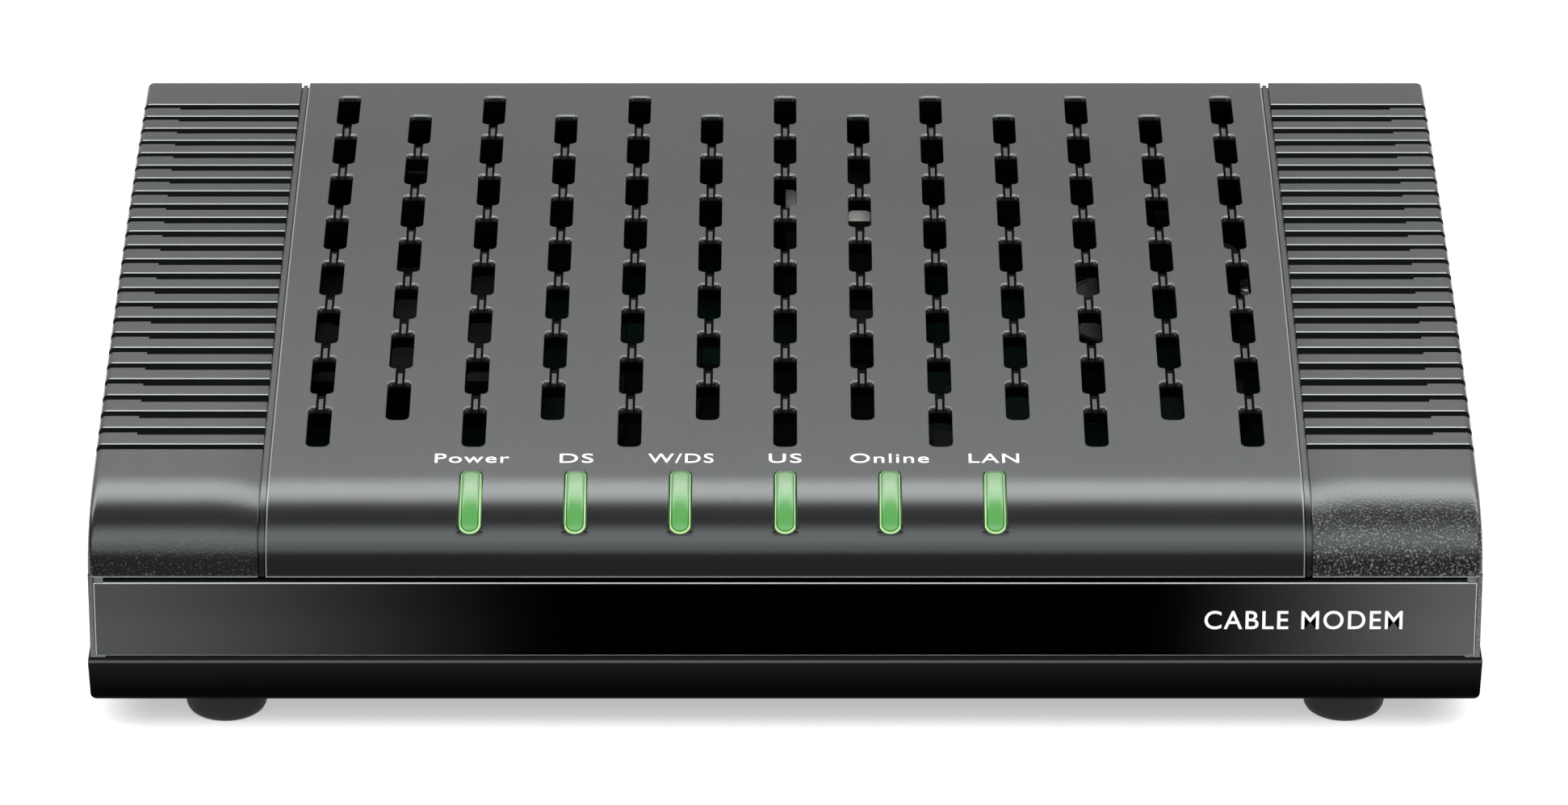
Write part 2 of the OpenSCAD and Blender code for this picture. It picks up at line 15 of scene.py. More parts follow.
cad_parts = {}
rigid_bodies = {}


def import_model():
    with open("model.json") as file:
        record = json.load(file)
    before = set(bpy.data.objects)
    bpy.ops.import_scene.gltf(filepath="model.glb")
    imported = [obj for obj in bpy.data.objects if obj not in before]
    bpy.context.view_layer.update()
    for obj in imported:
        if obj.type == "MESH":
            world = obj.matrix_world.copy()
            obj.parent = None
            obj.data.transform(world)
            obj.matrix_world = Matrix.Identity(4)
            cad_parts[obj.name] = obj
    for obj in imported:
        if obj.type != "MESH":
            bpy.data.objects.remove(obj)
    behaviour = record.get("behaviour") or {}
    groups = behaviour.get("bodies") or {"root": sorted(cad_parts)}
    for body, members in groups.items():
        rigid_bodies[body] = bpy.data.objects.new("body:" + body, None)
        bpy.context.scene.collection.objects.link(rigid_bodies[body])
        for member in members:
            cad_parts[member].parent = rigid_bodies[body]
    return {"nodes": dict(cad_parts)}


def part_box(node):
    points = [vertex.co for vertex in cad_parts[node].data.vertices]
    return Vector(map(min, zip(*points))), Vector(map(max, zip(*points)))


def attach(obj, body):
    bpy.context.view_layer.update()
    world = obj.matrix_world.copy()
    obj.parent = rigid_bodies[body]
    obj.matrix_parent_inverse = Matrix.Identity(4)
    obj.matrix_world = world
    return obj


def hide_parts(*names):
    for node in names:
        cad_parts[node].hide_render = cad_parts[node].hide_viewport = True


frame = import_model()

bl_info = {
    "name": "Cable modem looks",
    "version": (1, 0, 0),
    "blender": (4, 5, 0),
    "location": "3D View > Sidebar > Modem",
    "description": "Builds the visible pieces of a desktop cable modem round its CAD frame",
    "category": "Object",
}

MM = 0.001


def box_mm(node):
    """Lowest and highest corner of a CAD node, in millimetres."""
    low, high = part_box(node)
    return np.array(low) / MM, np.array(high) / MM


COVER_LOW, COVER_HIGH = box_mm("top_cover")
TRAY_LOW, TRAY_HIGH = box_mm("base_tray")
FASCIA_LOW, FASCIA_HIGH = box_mm("gloss_fascia")
FRONT_Y = COVER_LOW[1]
BACK_Y = COVER_HIGH[1]
HALF_W = COVER_HIGH[0]
DEPTH = BACK_Y - FRONT_Y
SEAT_Z = COVER_LOW[2]
CREST_RISE = 13.95
LIP_Z = COVER_HIGH[2] - CREST_RISE
CREST_V = 106.0
CROWN_R = 780.0
NOSE_V = 11.6
WALL = 2.0


# Side outline of the cover, unrolled: v runs along it from the lip to the back, h is height off it
def crown(v):
    """Height above the lip of the long, shallow part of the outline."""
    return CREST_RISE - (v - CREST_V) ** 2 / (2 * CROWN_R)


def nose_table():
    """Places, heights and slopes along the rounded front edge, against unrolled length."""
    tilt = (CREST_V - NOSE_V) / CROWN_R
    corners = np.array([[0, 0], [0, 5.2], [NOSE_V - 6.2, crown(NOSE_V) - 6.2 * tilt], [NOSE_V, crown(NOSE_V)]])
    t = np.linspace(0, 1, 1201)[:, None]
    place = (
        (1 - t) ** 3 * corners[0] + 3 * t * (1 - t) ** 2 * corners[1]
        + 3 * t * t * (1 - t) * corners[2] + t ** 3 * corners[3]
    )
    run = (
        (1 - t) ** 2 * (corners[1] - corners[0]) + 2 * t * (1 - t) * (corners[2] - corners[1])
        + t * t * (corners[3] - corners[2])
    )
    length = np.concatenate([[0], np.cumsum(np.hypot(*np.diff(place, axis=0).T))])
    return length - length[-1] + NOSE_V, place, np.arctan2(run[:, 1], run[:, 0])


NOSE = nose_table()
LIP_V = float(NOSE[0][0])


def bent(points):
    """Points (x, v, h) of the unrolled cover, bent onto its outline, in millimetres of the frame."""
    x, v, h = np.asarray(points, float).T
    y, z, angle = v.copy(), crown(v), np.arctan((CREST_V - v) / CROWN_R)
    front = v < NOSE_V
    y[front] = np.interp(v[front], NOSE[0], NOSE[1][:, 0])
    z[front] = np.interp(v[front], NOSE[0], NOSE[1][:, 1])
    angle[front] = np.interp(v[front], NOSE[0], NOSE[2])
    return np.stack([x, FRONT_Y + y - h * np.sin(angle), LIP_Z + z + h * np.cos(angle)], 1)


# Vents
COLS = 13
ROWS = 8
PITCH_X = 9.335
PITCH_V = 12.03
VENT_FRONT = 17.2
VENT_LEN = 9.2
FIELD_X = COLS * PITCH_X / 2
FIELD_V0 = VENT_FRONT + VENT_LEN / 2 - PITCH_V / 2
FIELD_V1 = FIELD_V0 + ROWS * PITCH_V

# Cheeks
GROOVES = 25
GROOVE_PITCH = 3.744
GROOVE_FRONT = 17.95
GROOVE_DEPTH = 0.95
STEP_X = 77.8
INNER_X = HALF_W - 1.8
EDGE_R = 0.9

# Indicator windows
LED_COUNT = 6
LED_PITCH = 12.46
LED_XS = [(i - 3) * LED_PITCH for i in range(LED_COUNT)]
LED_MID_V = 6.72
LED_HALF_L = 5.3
LED_HALF_W = 1.33
LED_CHAMFER = 0.09


# ---------------------------------------------------------------- properties

class ModemSizes(bpy.types.PropertyGroup):
    """Sizes of the small details that the looks add to the CAD shapes."""

    rim_radius: bpy.props.FloatProperty(
        name="Vent rim radius", description="Rounding of the rim at the ends of each vent slot",
        default=0.0006, min=0.0001, max=0.0006, subtype="DISTANCE", unit="LENGTH")
    bar_drop: bpy.props.FloatProperty(
        name="Bar drop", description="How far the bar between two slots lies below the cover",
        default=0.00016, subtype="DISTANCE", unit="LENGTH")
    edge_round: bpy.props.FloatProperty(
        name="Lip rounding", description="Rounding of the cover's front and back edges",
        default=0.0003, subtype="DISTANCE", unit="LENGTH")
    seam_depth: bpy.props.FloatProperty(
        name="Seam depth", description="Depth of the seam beside the vented field",
        default=0.00042, subtype="DISTANCE", unit="LENGTH")
    tray_bevel: bpy.props.FloatProperty(
        name="Tray bevel", description="Bevel on the edges of the base tray",
        default=0.00012, subtype="DISTANCE", unit="LENGTH")
    legend_height: bpy.props.FloatProperty(
        name="Legend height", description="Cap height of the white legends",
        default=0.0021, subtype="DISTANCE", unit="LENGTH")
    thread_pitch: bpy.props.FloatProperty(
        name="Thread pitch", description="Pitch of the coax connector's thread",
        default=0.000794, subtype="DISTANCE", unit="LENGTH")


class ModemFinishes(bpy.types.PropertyGroup):
    """Colours of the finishes that a user would change."""

    cover: bpy.props.FloatVectorProperty(
        name="Cover", description="Grained plastic of the top cover",
        default=(0.0112, 0.0119, 0.0121), subtype="COLOR")
    tray: bpy.props.FloatVectorProperty(
        name="Tray", description="Black plastic of the base tray",
        default=(0.0052, 0.0054, 0.0054), subtype="COLOR")
    lens: bpy.props.FloatVectorProperty(
        name="Windows", description="Green resin of the indicator windows",
        default=(0.012, 0.045, 0.010), subtype="COLOR")
    legend: bpy.props.FloatVectorProperty(
        name="Legends", description="Printed legends", default=(0.82, 0.83, 0.82), subtype="COLOR")
    board: bpy.props.FloatVectorProperty(
        name="Board", description="Solder mask of the circuit board",
        default=(0.004, 0.016, 0.009), subtype="COLOR")


def size(name):
    """A size setting of this scene, in millimetres."""
    return getattr(bpy.context.scene.modem_sizes, name) / MM


def tint(name, factor=1.0):
    """A colour setting of this scene, made lighter or darker by a factor."""
    return scaled(getattr(bpy.context.scene.modem_finishes, name), factor)


def scaled(colour, factor):
    """A colour times a factor."""
    return tuple(c * factor for c in colour)


# ---------------------------------------------------------------- node graphs

def joins(operation):
    """A method that adds one Math node for a value and another term."""
    return lambda self, other: self.graph.maths(operation, self, other)


class Value:
    """A node socket that joins in Python arithmetic: each operator adds its Math node."""

    def __init__(self, graph, socket):
        self.graph = graph
        self.socket = socket

    __add__ = __radd__ = joins("ADD")
    __mul__ = __rmul__ = joins("MULTIPLY")
    __sub__ = joins("SUBTRACT")
    __truediv__ = joins("DIVIDE")
    __mod__ = joins("FLOORED_MODULO")
    __gt__ = joins("GREATER_THAN")
    __lt__ = joins("LESS_THAN")
    maximum = joins("MAXIMUM")

    def __rsub__(self, other):
        return self.graph.maths("SUBTRACT", other, self)

    def __abs__(self):
        return self.graph.maths("ABSOLUTE", self)

    def floor(self):
        return self.graph.maths("FLOOR", self)

    def ramp(self, low, high):
        """0 below low, 1 above high and smooth between them."""
        node = self.graph.put(
            "ShaderNodeMapRange", {"interpolation_type": "SMOOTHSTEP"}, {0: self, 1: low, 2: high, 3: 0.0, 4: 1.0})
        return self.graph.out(node)


class Graph:
    """A node tree that is filled in from Python."""

    def __init__(self, tree):
        self.tree = tree
        tree.nodes.clear()

    def put(self, kind, settings=None, inputs=None):
        """Adds a node: its settings first, then the values or links of its sockets."""
        node = self.tree.nodes.new(kind)
        for key, value in (settings or {}).items():
            if key == "stops":
                ramp = node.color_ramp
                while len(ramp.elements) < len(value):
                    ramp.elements.new(0.5)
                for element, (place, colour) in zip(ramp.elements, value):
                    element.position = place
                    element.color = (*colour, 1.0)
            else:
                setattr(node, key, value)
        return self.fill(node, inputs or {})

    def fill(self, node, inputs):
        """Gives the sockets of a node their values or links; a colour comes as three numbers."""
        for key, value in inputs.items():
            socket = node.inputs[key]
            if isinstance(value, Value):
                self.tree.links.new(value.socket, socket)
            elif isinstance(value, list):
                for one in value:
                    self.tree.links.new(one.socket, socket)
            else:
                socket.default_value = (*value, 1.0) if socket.type == "RGBA" else value
        return node

    def out(self, node, key=0):
        return Value(self, node.outputs[key])

    def maths(self, operation, *terms):
        return self.out(self.put("ShaderNodeMath", {"operation": operation}, dict(enumerate(terms))))

    def blend(self, factor, low, high):
        """Mix of two colours."""
        return self.out(self.put("ShaderNodeMix", {"data_type": "RGBA"}, {0: factor, 6: low, 7: high}), 2)

    def place(self):
        """Object coordinates and their three numbers."""
        coords = self.out(self.put("ShaderNodeTexCoord"), "Object")
        split = self.put("ShaderNodeSeparateXYZ", None, {0: coords})
        return coords, self.out(split, 0), self.out(split, 1), self.out(split, 2)

    def noise(self, coords, grain, detail=2.0, roughness=0.5, stretch=None):
        """Noise with a grain of that many millimetres."""
        if stretch:
            coords = self.out(self.put("ShaderNodeMapping", None, {"Vector": coords, "Scale": stretch}))
        node = self.put("ShaderNodeTexNoise", None, {
            "Vector": coords, "Scale": 1 / (grain * MM), "Detail": detail, "Roughness": roughness})
        return self.out(node, 0)

    def bump(self, height, strength, distance):
        """Normal from a height; the distance is in millimetres."""
        node = self.put("ShaderNodeBump", None, {"Strength": strength, "Distance": distance * MM, "Height": height})
        return self.out(node)


FINISHES = {}
MADE = {}


def material(name, *settings, **constants):
    """Notes a function as a material: it gives the sockets that vary, and constants hold the rest."""
    def note(build):
        FINISHES[name] = (build, settings, constants)
        return build
    return note


def finish(name):
    """The Principled material of that name, made the first time that it is asked for."""
    if name not in MADE:
        build, settings, constants = FINISHES[name]
        MADE[name] = bpy.data.materials.new(name)
        MADE[name].use_nodes = True
        graph = Graph(MADE[name].node_tree)
        shader = graph.put("ShaderNodeBsdfPrincipled")
        graph.fill(shader, {key.replace("_", " "): value for key, value in constants.items()})
        graph.fill(shader, build(graph, *settings))
        graph.put("ShaderNodeOutputMaterial", None, {"Surface": graph.out(shader)})
    return MADE[name]


def plastic(graph, colour, rough, grain, depth, mottle=0.12):
    """Moulded plastic: a slight mottle, uneven gloss and a fine moulded grain."""
    coords = graph.place()[0]
    cloud = graph.noise(coords, 9.0, 3.0)
    fine = graph.noise(coords, grain, 3.0, 0.6)
    return {
        "Base Color": graph.blend(cloud, scaled(colour, 1 - mottle), scaled(colour, 1 + mottle)),
        "Roughness": rough + (fine - 0.5) * 0.12 + (cloud - 0.5) * 0.05,
        "Normal": graph.bump(fine, 0.5, depth),
    }


def metal(graph, colour, rough, brush, along):
    """Plated or brushed metal; along stretches the brushing over one axis."""
    coords = graph.place()[0]
    lines = graph.noise(coords, brush, 4.0, 0.6, along)
    cloud = graph.noise(coords, 4.0, 3.0)
    return {
        "Base Color": graph.blend(cloud, scaled(colour, 0.88), colour),
        "Roughness": rough + (lines - 0.5) * 0.2 + (cloud - 0.5) * 0.1,
        "Normal": graph.bump(lines, 0.25, 0.02),
    }


def ink(graph, colour):
    """Printed ink: slightly uneven coverage and a matt face."""
    coords = graph.place()[0]
    fine = graph.noise(coords, 0.25, 2.0)
    return {
        "Base Color": graph.blend(fine, scaled(colour, 0.92), colour),
        "Roughness": 0.45 + fine * 0.15,
        "Normal": graph.bump(fine, 0.2, 0.01),
    }


# Name, specular level, colour, roughness, grain and its depth in millimetres, mottle
for look in (
        # cover_recess: near-black painted shade for the slot walls and the channels beside each neck.
        ("cover_recess", 0.02, (0.0006, 0.0006, 0.0006), 0.60, 0.3, 0.02),
        ("bezel_plastic", 0.15, (0.0035, 0.0035, 0.0036), 0.40, 0.3, 0.02),
        ("pipe_green", 0.5, (0.010, 0.040, 0.008), 0.30, 0.4, 0.01),
        ("foot_rubber", 0.28, (0.0062, 0.0062, 0.0064), 0.48, 0.25, 0.03),
        ("led_resin", 0.5, (0.55, 0.54, 0.42), 0.25, 0.2, 0.005),
        ("white_insulator", 0.5, (0.72, 0.70, 0.64), 0.42, 0.3, 0.01, 0.04),
        ("chip_epoxy", 0.3, (0.009, 0.009, 0.010), 0.55, 0.15, 0.02),
        ("jack_plastic", 0.4, (0.012, 0.012, 0.013), 0.38, 0.25, 0.012),
        ("pad_silicone", 0.5, (0.10, 0.11, 0.12), 0.7, 0.4, 0.03),
        ("capacitor_sleeve", 0.5, (0.010, 0.012, 0.018), 0.30, 0.6, 0.006)):
    material(look[0], *look[2:], Specular_IOR_Level=look[1])(plastic)
# Painted highlight: light grey with a faint glow, for the fine edge lines of the fascia and of the ribs.
material("fascia_edge", (0.42, 0.44, 0.44), 0.22, 0.5, 0.005,
         Emission_Color=(0.9, 1.0, 1.0), Emission_Strength=0.06)(plastic)

# Name, colour, roughness, width of the brushing in millimetres and its stretch
for look in (
        ("screw_steel", (0.36, 0.36, 0.37), 0.34, 0.3, (1.0, 1.0, 1.0)),
        ("plated_nickel", (0.40, 0.39, 0.365), 0.30, 0.4, (1.0, 0.2, 1.0)),
        ("contact_brass", (0.72, 0.50, 0.20), 0.22, 0.2, (1.0, 0.2, 1.0)),
        ("shield_tin", (0.22, 0.22, 0.21), 0.42, 0.5, (1.0, 0.1, 1.0)),
        # dull_tin: tin darkened to near black as painted shade for the inner pieces seen through the vents; the coax
        # block and the leads share it.
        ("dull_tin", (0.030, 0.030, 0.029), 0.62, 0.5, (1.0, 0.1, 1.0))):
    material(*look, Metallic=1.0)(metal)
material("label_film", (0.62, 0.62, 0.60))(ink)


@material("legend_ink")
def legend_ink(graph):
    """Ink of the legends."""
    return ink(graph, tint("legend"))


@material("cover_plastic", Specular_IOR_Level=0.5, Specular_Tint=(0.94, 1.0, 1.0))
def cover_plastic(graph):
    """Dark grey cover plastic: fine spark grain, coarser on the lower front of the cheeks; painted glints light some
    of the coarse grains there, and painted highlights line the lip's lower edge and the field's edge at the seam.
    """
    coords, x, y, z = graph.place()
    cheek = abs(x).ramp(62.0 * MM, 62.8 * MM)
    right = x.ramp(-10 * MM, 10 * MM)
    low = 1 - (z - right * (3 * MM)).ramp((LIP_Z + 1.5) * MM, (LIP_Z + 6.5) * MM)
    front = 1 - y.ramp((FRONT_Y + 3) * MM, (FRONT_Y + 12) * MM)
    coarse = graph.noise(coords, 0.27, 2.0, 0.65)
    fine = graph.noise(coords, 0.17, 2.0, 0.7)
    cloud = graph.noise(coords, 14.0, 3.0)
    mask = cheek * low * front
    height = fine * (1 - mask) * 0.35 + coarse * mask * (right * 1.2 + 1.5)
    # Painted glints: light specks on the coarse grain, only on the lower front of the cheeks and stronger on the
    # right.
    painted_glints = (coarse + right * 0.06).ramp(0.58, 0.74) * mask * (right * 0.5 + 0.5)
    shade = graph.blend(cloud, tint("cover", 0.9), tint("cover", 1.1))
    # Painted highlight along the lower rounded edge of the lip.
    lip = 1 - z.ramp((LIP_Z + 0.10) * MM, (LIP_Z + 0.24) * MM)
    lip_highlight = lip * (1 - y.ramp((FRONT_Y + 0.1) * MM, (FRONT_Y + 0.4) * MM))
    # Painted highlight on the field's rounded edge where it drops into the seam.
    seam = abs(x).ramp(61.30 * MM, 61.42 * MM) * (1 - abs(x).ramp(61.50 * MM, 61.53 * MM))
    shade = graph.blend(lip_highlight.maximum(seam * 0.5), shade, (0.42, 0.44, 0.44))
    return {
        "Base Color": graph.blend(painted_glints, shade, (0.17, 0.175, 0.175)),
        "Roughness": 0.21 + (fine - 0.5) * 0.10 + (cloud - 0.5) * 0.04,
        "Normal": graph.bump(height, 0.55, 0.05),
    }


@material("fascia_gloss", Specular_IOR_Level=0.0, Coat_Roughness=0.12)
def fascia_gloss(graph):
    """Gloss black strip with a painted sheen: its base colour grows lighter towards its ends, more so at the right,
    with more lacquer coat there.
    """
    coords, x = graph.place()[:2]
    # Painted sheen: the base colour grows lighter towards both ends of the strip, lighter still at the right end.
    ends = ((x * -1.0 - 0.024) / 0.058).maximum((x - 0.042) / 0.040).ramp(0.0, 1.15)
    far = graph.blend(x.ramp(-10 * MM, 10 * MM), (0.060, 0.063, 0.064), (0.084, 0.087, 0.088))
    haze = graph.noise(coords, 20.0, 2.0)
    return {
        "Base Color": graph.blend(ends * (ends * 0.45 + 0.55), (0.0001, 0.0001, 0.0001), far),
        "Roughness": 0.10 + haze * 0.05,
        "Coat Weight": ends * 0.2,
        "Normal": graph.bump(graph.noise(coords, 3.0, 2.0), 0.03, 0.02),
    }


@material("tray_plastic", Specular_IOR_Level=0.006)
def tray_plastic(graph):
    """Black tray plastic with painted shade, darker towards the floor and lighter towards its upper edge, and a
    painted highlight line along that edge.
    """
    coords, _, _, z = graph.place()
    fine = graph.noise(coords, 0.3, 2.0)
    cloud = graph.noise(coords, 12.0, 3.0)
    dark = graph.blend(cloud, tint("tray", 0.08), tint("tray", 0.16))
    # Painted highlight: a light line along the tray's upper edge.
    rim = z.ramp((SEAT_Z - 0.72) * MM, (SEAT_Z - 0.56) * MM)
    rim = rim * (1 - z.ramp((SEAT_Z - 0.40) * MM, (SEAT_Z - 0.25) * MM))
    # Painted shade: a darkened copy of the tray colour towards the floor, lighter higher up.
    shade = graph.blend(z.ramp(4.5 * MM, 10.5 * MM), dark, tint("tray", 1.6))
    return {
        "Base Color": graph.blend(rim, shade, (0.075, 0.08, 0.08)),
        "Roughness": 0.42 + (fine - 0.5) * 0.15,
        "Normal": graph.bump(fine, 0.4, 0.02),
    }


@material("lens_green", Specular_IOR_Level=0.4, Emission_Strength=0.85)
def lens_green(graph):
    """Lit green window: pale at the top, deeper below, with a bright yellow-green rim; the paler, greyer top is
    partly a painted reflection, and a painted shadow darkens the groove just inside the rim.
    """
    rim, rise = [
        graph.out(graph.put("ShaderNodeAttribute", {"attribute_name": name}), "Fac") for name in ("rim", "rise")]
    cloud = graph.noise(graph.place()[0], 0.8, 2.0)
    # The glow is the window's own light; its paler, greyer upper stops also stand in for a painted reflection.
    body = graph.out(graph.put("ShaderNodeValToRGB", {"stops": [
        (0.0, (0.125, 0.42, 0.11)), (0.35, (0.115, 0.40, 0.10)), (0.55, (0.14, 0.39, 0.12)),
        (0.70, (0.20, 0.38, 0.17)), (1.0, (0.19, 0.36, 0.16))]}, {0: rise}))
    edge = graph.blend(rise, (0.62, 1.0, 0.42), (0.32, 0.70, 0.26))
    # Painted shadow: a dark green line in the groove just inside the raised rim.
    line = rim.ramp(0.10, 0.17) * (1 - rim.ramp(0.24, 0.32))
    lit = graph.blend(rim.ramp(0.12, 0.2), edge, body)
    return {
        "Base Color": graph.blend(line, tint("lens"), (0.01, 0.04, 0.01)),
        "Emission Color": graph.blend(line, lit, (0.02, 0.10, 0.02)),
        "Roughness": 0.18 + cloud * 0.12,
    }


@material("board_laminate", Specular_IOR_Level=0.1)
def board_laminate(graph):
    """Solder mask with fine parallel tracks that show through it as slightly lighter lines."""
    coords, x, y, _ = graph.place()
    wander = graph.noise(coords, 9.0, 2.0)
    lanes, cross = [
        abs(((c + wander * 0.004) * 900.0) % 1.0 - 0.5).ramp(0.24, 0.30) for c in (x, y)]
    choose = graph.noise(coords, 6.0, 0.0).ramp(0.49, 0.51)
    tracks = lanes * choose + cross * (1 - choose)
    show = tracks * graph.noise(coords, 11.0, 0.0).ramp(0.5, 0.52)
    return {
        "Base Color": graph.blend(show, tint("board"), tint("board", 1.9)),
        "Roughness": 0.32 + wander * 0.1,
        "Normal": graph.bump(show, 0.4, 0.035),
    }


@material("heat_sink_black", Specular_IOR_Level=0.06)
def heat_sink_black(graph):
    """Black anodised aluminium with fine extrusion lines."""
    lines = graph.noise(graph.place()[0], 0.5, 3.0, 0.5, (1.0, 0.03, 1.0))
    return {
        "Base Color": graph.blend(lines, (0.004, 0.004, 0.0045), (0.010, 0.010, 0.011)),
        "Roughness": 0.70 + lines * 0.15,
        "Normal": graph.bump(lines, 0.3, 0.03),
    }


@material("stage_floor", Specular_IOR_Level=0.0, Emission_Color=(1.0, 1.0, 1.0), Emission_Strength=0.5)
def stage_floor(graph):
    """Plain pale floor."""
    cloud = graph.noise(graph.place()[0], 400.0, 1.0)
    return {"Base Color": graph.blend(cloud, (0.61, 0.61, 0.61), (0.63, 0.63, 0.63)), "Roughness": 0.9}


@material("stage_flag", Specular_IOR_Level=0.0)
def stage_flag(graph):
    """Black cloth of the low flag that keeps the lit floor out of the cover's rounded front."""
    cloth = graph.noise(graph.place()[0], 2.0, 1.0)
    return {"Base Color": graph.blend(cloth, (0.002, 0.002, 0.002), (0.004, 0.004, 0.004)), "Roughness": 0.9}


# ---------------------------------------------------------------- meshes

def circle(radius, steps, turn=0.0):
    """Points (x, y) evenly spaced on a circle."""
    angles = [2 * math.pi * i / steps + turn for i in range(steps)]
    return [(radius * math.cos(a), radius * math.sin(a)) for a in angles]


class Skin:
    """Points and faces of one piece, gathered in millimetres of the frame."""

    def __init__(self):
        self.points = []
        self.faces = []

    def add(self, points, faces):
        base = len(self.points)
        self.points.extend(tuple(float(c) for c in p) for p in points)
        self.faces.extend(tuple(base + i for i in f) for f in faces)
        return self

    def tube(self, rows, caps=False):
        """Quads between rings with the same number of points, each ring closed on itself."""
        steps = len(rows[0])
        faces = [(r + i, r + (i + 1) % steps, r + steps + (i + 1) % steps, r + steps + i)
                 for r in range(0, (len(rows) - 1) * steps, steps) for i in range(steps)]
        if caps:
            faces += [range(steps), range((len(rows) - 1) * steps, len(rows) * steps)]
        return self.add([p for row in rows for p in row], faces)

    def lathe(self, profile, centre, steps=48):
        """Turns a profile of (radius, height) round the vertical through centre; radius 0 makes a pole."""
        rings, points = [], []
        for radius, along in profile:
            if radius < 1e-9:
                rings.append([len(points)] * steps)
                points.append((0.0, 0.0, along))
                continue
            rings.append(list(range(len(points), len(points) + steps)))
            points += [(a, b, along) for a, b in circle(radius, steps)]
        faces = []
        for low, high in zip(rings, rings[1:]):
            for i in range(steps):
                j = (i + 1) % steps
                ids = list(dict.fromkeys([low[i], low[j], high[j], high[i]]))
                if len(ids) > 2:
                    faces.append(ids)
        return self.add(np.array(points) + np.array(centre), faces)

    def block(self, low, high):
        """A closed block with sharp edges; most pieces that use one bevel them later."""
        xs, ys, zs = zip(low, high)
        points = [(x, y, z) for z in zs for y in ys for x in xs]
        return self.add(points, [(0, 2, 3, 1), (4, 5, 7, 6), (0, 1, 5, 4), (2, 6, 7, 3), (0, 4, 6, 2), (1, 3, 7, 5)])

    def mesh(self, name, weld=0.002):
        """A mesh in metres with doubles merged and faces turned outwards."""
        mesh = bpy.data.meshes.new(name)
        mesh.from_pydata([tuple(c * MM for c in p) for p in self.points], [], self.faces)
        bm = bmesh.new()
        bm.from_mesh(mesh)
        bmesh.ops.remove_doubles(bm, verts=bm.verts, dist=weld * MM)
        bmesh.ops.recalc_face_normals(bm, faces=bm.faces)
        bm.to_mesh(mesh)
        bm.free()
        return mesh


def new_object(name, mesh, *materials):
    """Links a mesh as an object at the origin, with its materials."""
    thing = bpy.data.objects.new(name, mesh)
    bpy.context.scene.collection.objects.link(thing)
    for material in materials:
        mesh.materials.append(material)
    return thing


def baked(thing):
    """The object with its modifiers turned into plain mesh."""
    materials = list(thing.data.materials)
    bpy.context.view_layer.update()
    graph = bpy.context.evaluated_depsgraph_get()
    mesh = bpy.data.meshes.new_from_object(thing.evaluated_get(graph), depsgraph=graph)
    mesh.name = thing.name
    thing.modifiers.clear()
    thing.data = mesh
    if not len(mesh.materials):
        for material in materials:
            mesh.materials.append(material)
    return thing


def softened(thing, width, segments=2, angle=32):
    """Rounds the sharp edges by that many millimetres."""
    modifier = thing.modifiers.new("edges", "BEVEL")
    modifier.width = width * MM
    modifier.segments = segments
    modifier.limit_method = "ANGLE"
    modifier.angle_limit = math.radians(angle)
    modifier.use_clamp_overlap = True
    modifier.miter_outer = "MITER_ARC"
    return baked(thing)


def smooth(thing, angle=38):
    """Smooth shading, with edges sharper than the angle kept crisp."""
    mesh = thing.data
    mesh.polygons.foreach_set("use_smooth", [True] * len(mesh.polygons))
    mesh.set_sharp_from_angle(angle=math.radians(angle))
    mesh.update()
    return thing


def placed(thing, body, nodes=()):
    """Fixes a finished piece to its CAD body, with the nodes that it stands for."""
    if not len(thing.data.polygons):
        raise RuntimeError(thing.name + " came out empty")
    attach(thing, body)
    if nodes:
        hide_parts(*nodes)
    return thing


def welded_copy(node, name, *materials):
    """A new object from a CAD node's shape, merged and with its flat faces joined up."""
    source = frame["nodes"][node].data
    bm = bmesh.new()
    for v in source.vertices:
        bm.verts.new(v.co)
    bm.verts.ensure_lookup_table()
    for p in source.polygons:
        try:
            bm.faces.new([bm.verts[i] for i in p.vertices])
        except ValueError:
            continue
    bmesh.ops.remove_doubles(bm, verts=bm.verts, dist=2e-6)
    bmesh.ops.dissolve_degenerate(bm, edges=bm.edges, dist=1e-6)
    bmesh.ops.dissolve_limit(bm, angle_limit=math.radians(0.6), verts=bm.verts, edges=bm.edges)
    mesh = bpy.data.meshes.new(name)
    bm.to_mesh(mesh)
    bm.free()
    return new_object(name, mesh, *materials)


def from_node(node, finish_name, bevel, segments=2, suffix="_piece", angles=(32, 38)):
    """A piece that takes a CAD node's shape and rounds its edges as moulding or forming does."""
    thing = welded_copy(node, node + suffix, finish(finish_name))
    softened(thing, bevel, segments, angles[0])
    smooth(thing, angles[1])
    return placed(thing, "case", [node])


def grown(name, build, values):
    """The plain mesh object that a Geometry Nodes tree makes from its named inputs."""
    tree = bpy.data.node_groups.new(name, "GeometryNodeTree")
    for key, default in values.items():
        kind = "NodeSocketInt" if isinstance(default, int) else "NodeSocketFloat"
        socket = tree.interface.new_socket(key, in_out="INPUT", socket_type=kind)
        socket.default_value = default
    tree.interface.new_socket("Geometry", in_out="OUTPUT", socket_type="NodeSocketGeometry")
    graph = Graph(tree)
    entry = graph.put("NodeGroupInput")
    result = build(graph, {key: graph.out(entry, key) for key in values})
    graph.put("NodeGroupOutput", None, {0: result})
    thing = new_object(name, bpy.data.meshes.new(name))
    modifier = thing.modifiers.new(name, "NODES")
    modifier.node_group = tree
    for item in tree.interface.items_tree:
        if item.item_type == "SOCKET" and item.in_out == "INPUT":
            modifier[item.identifier] = values[item.name]
    return baked(thing)


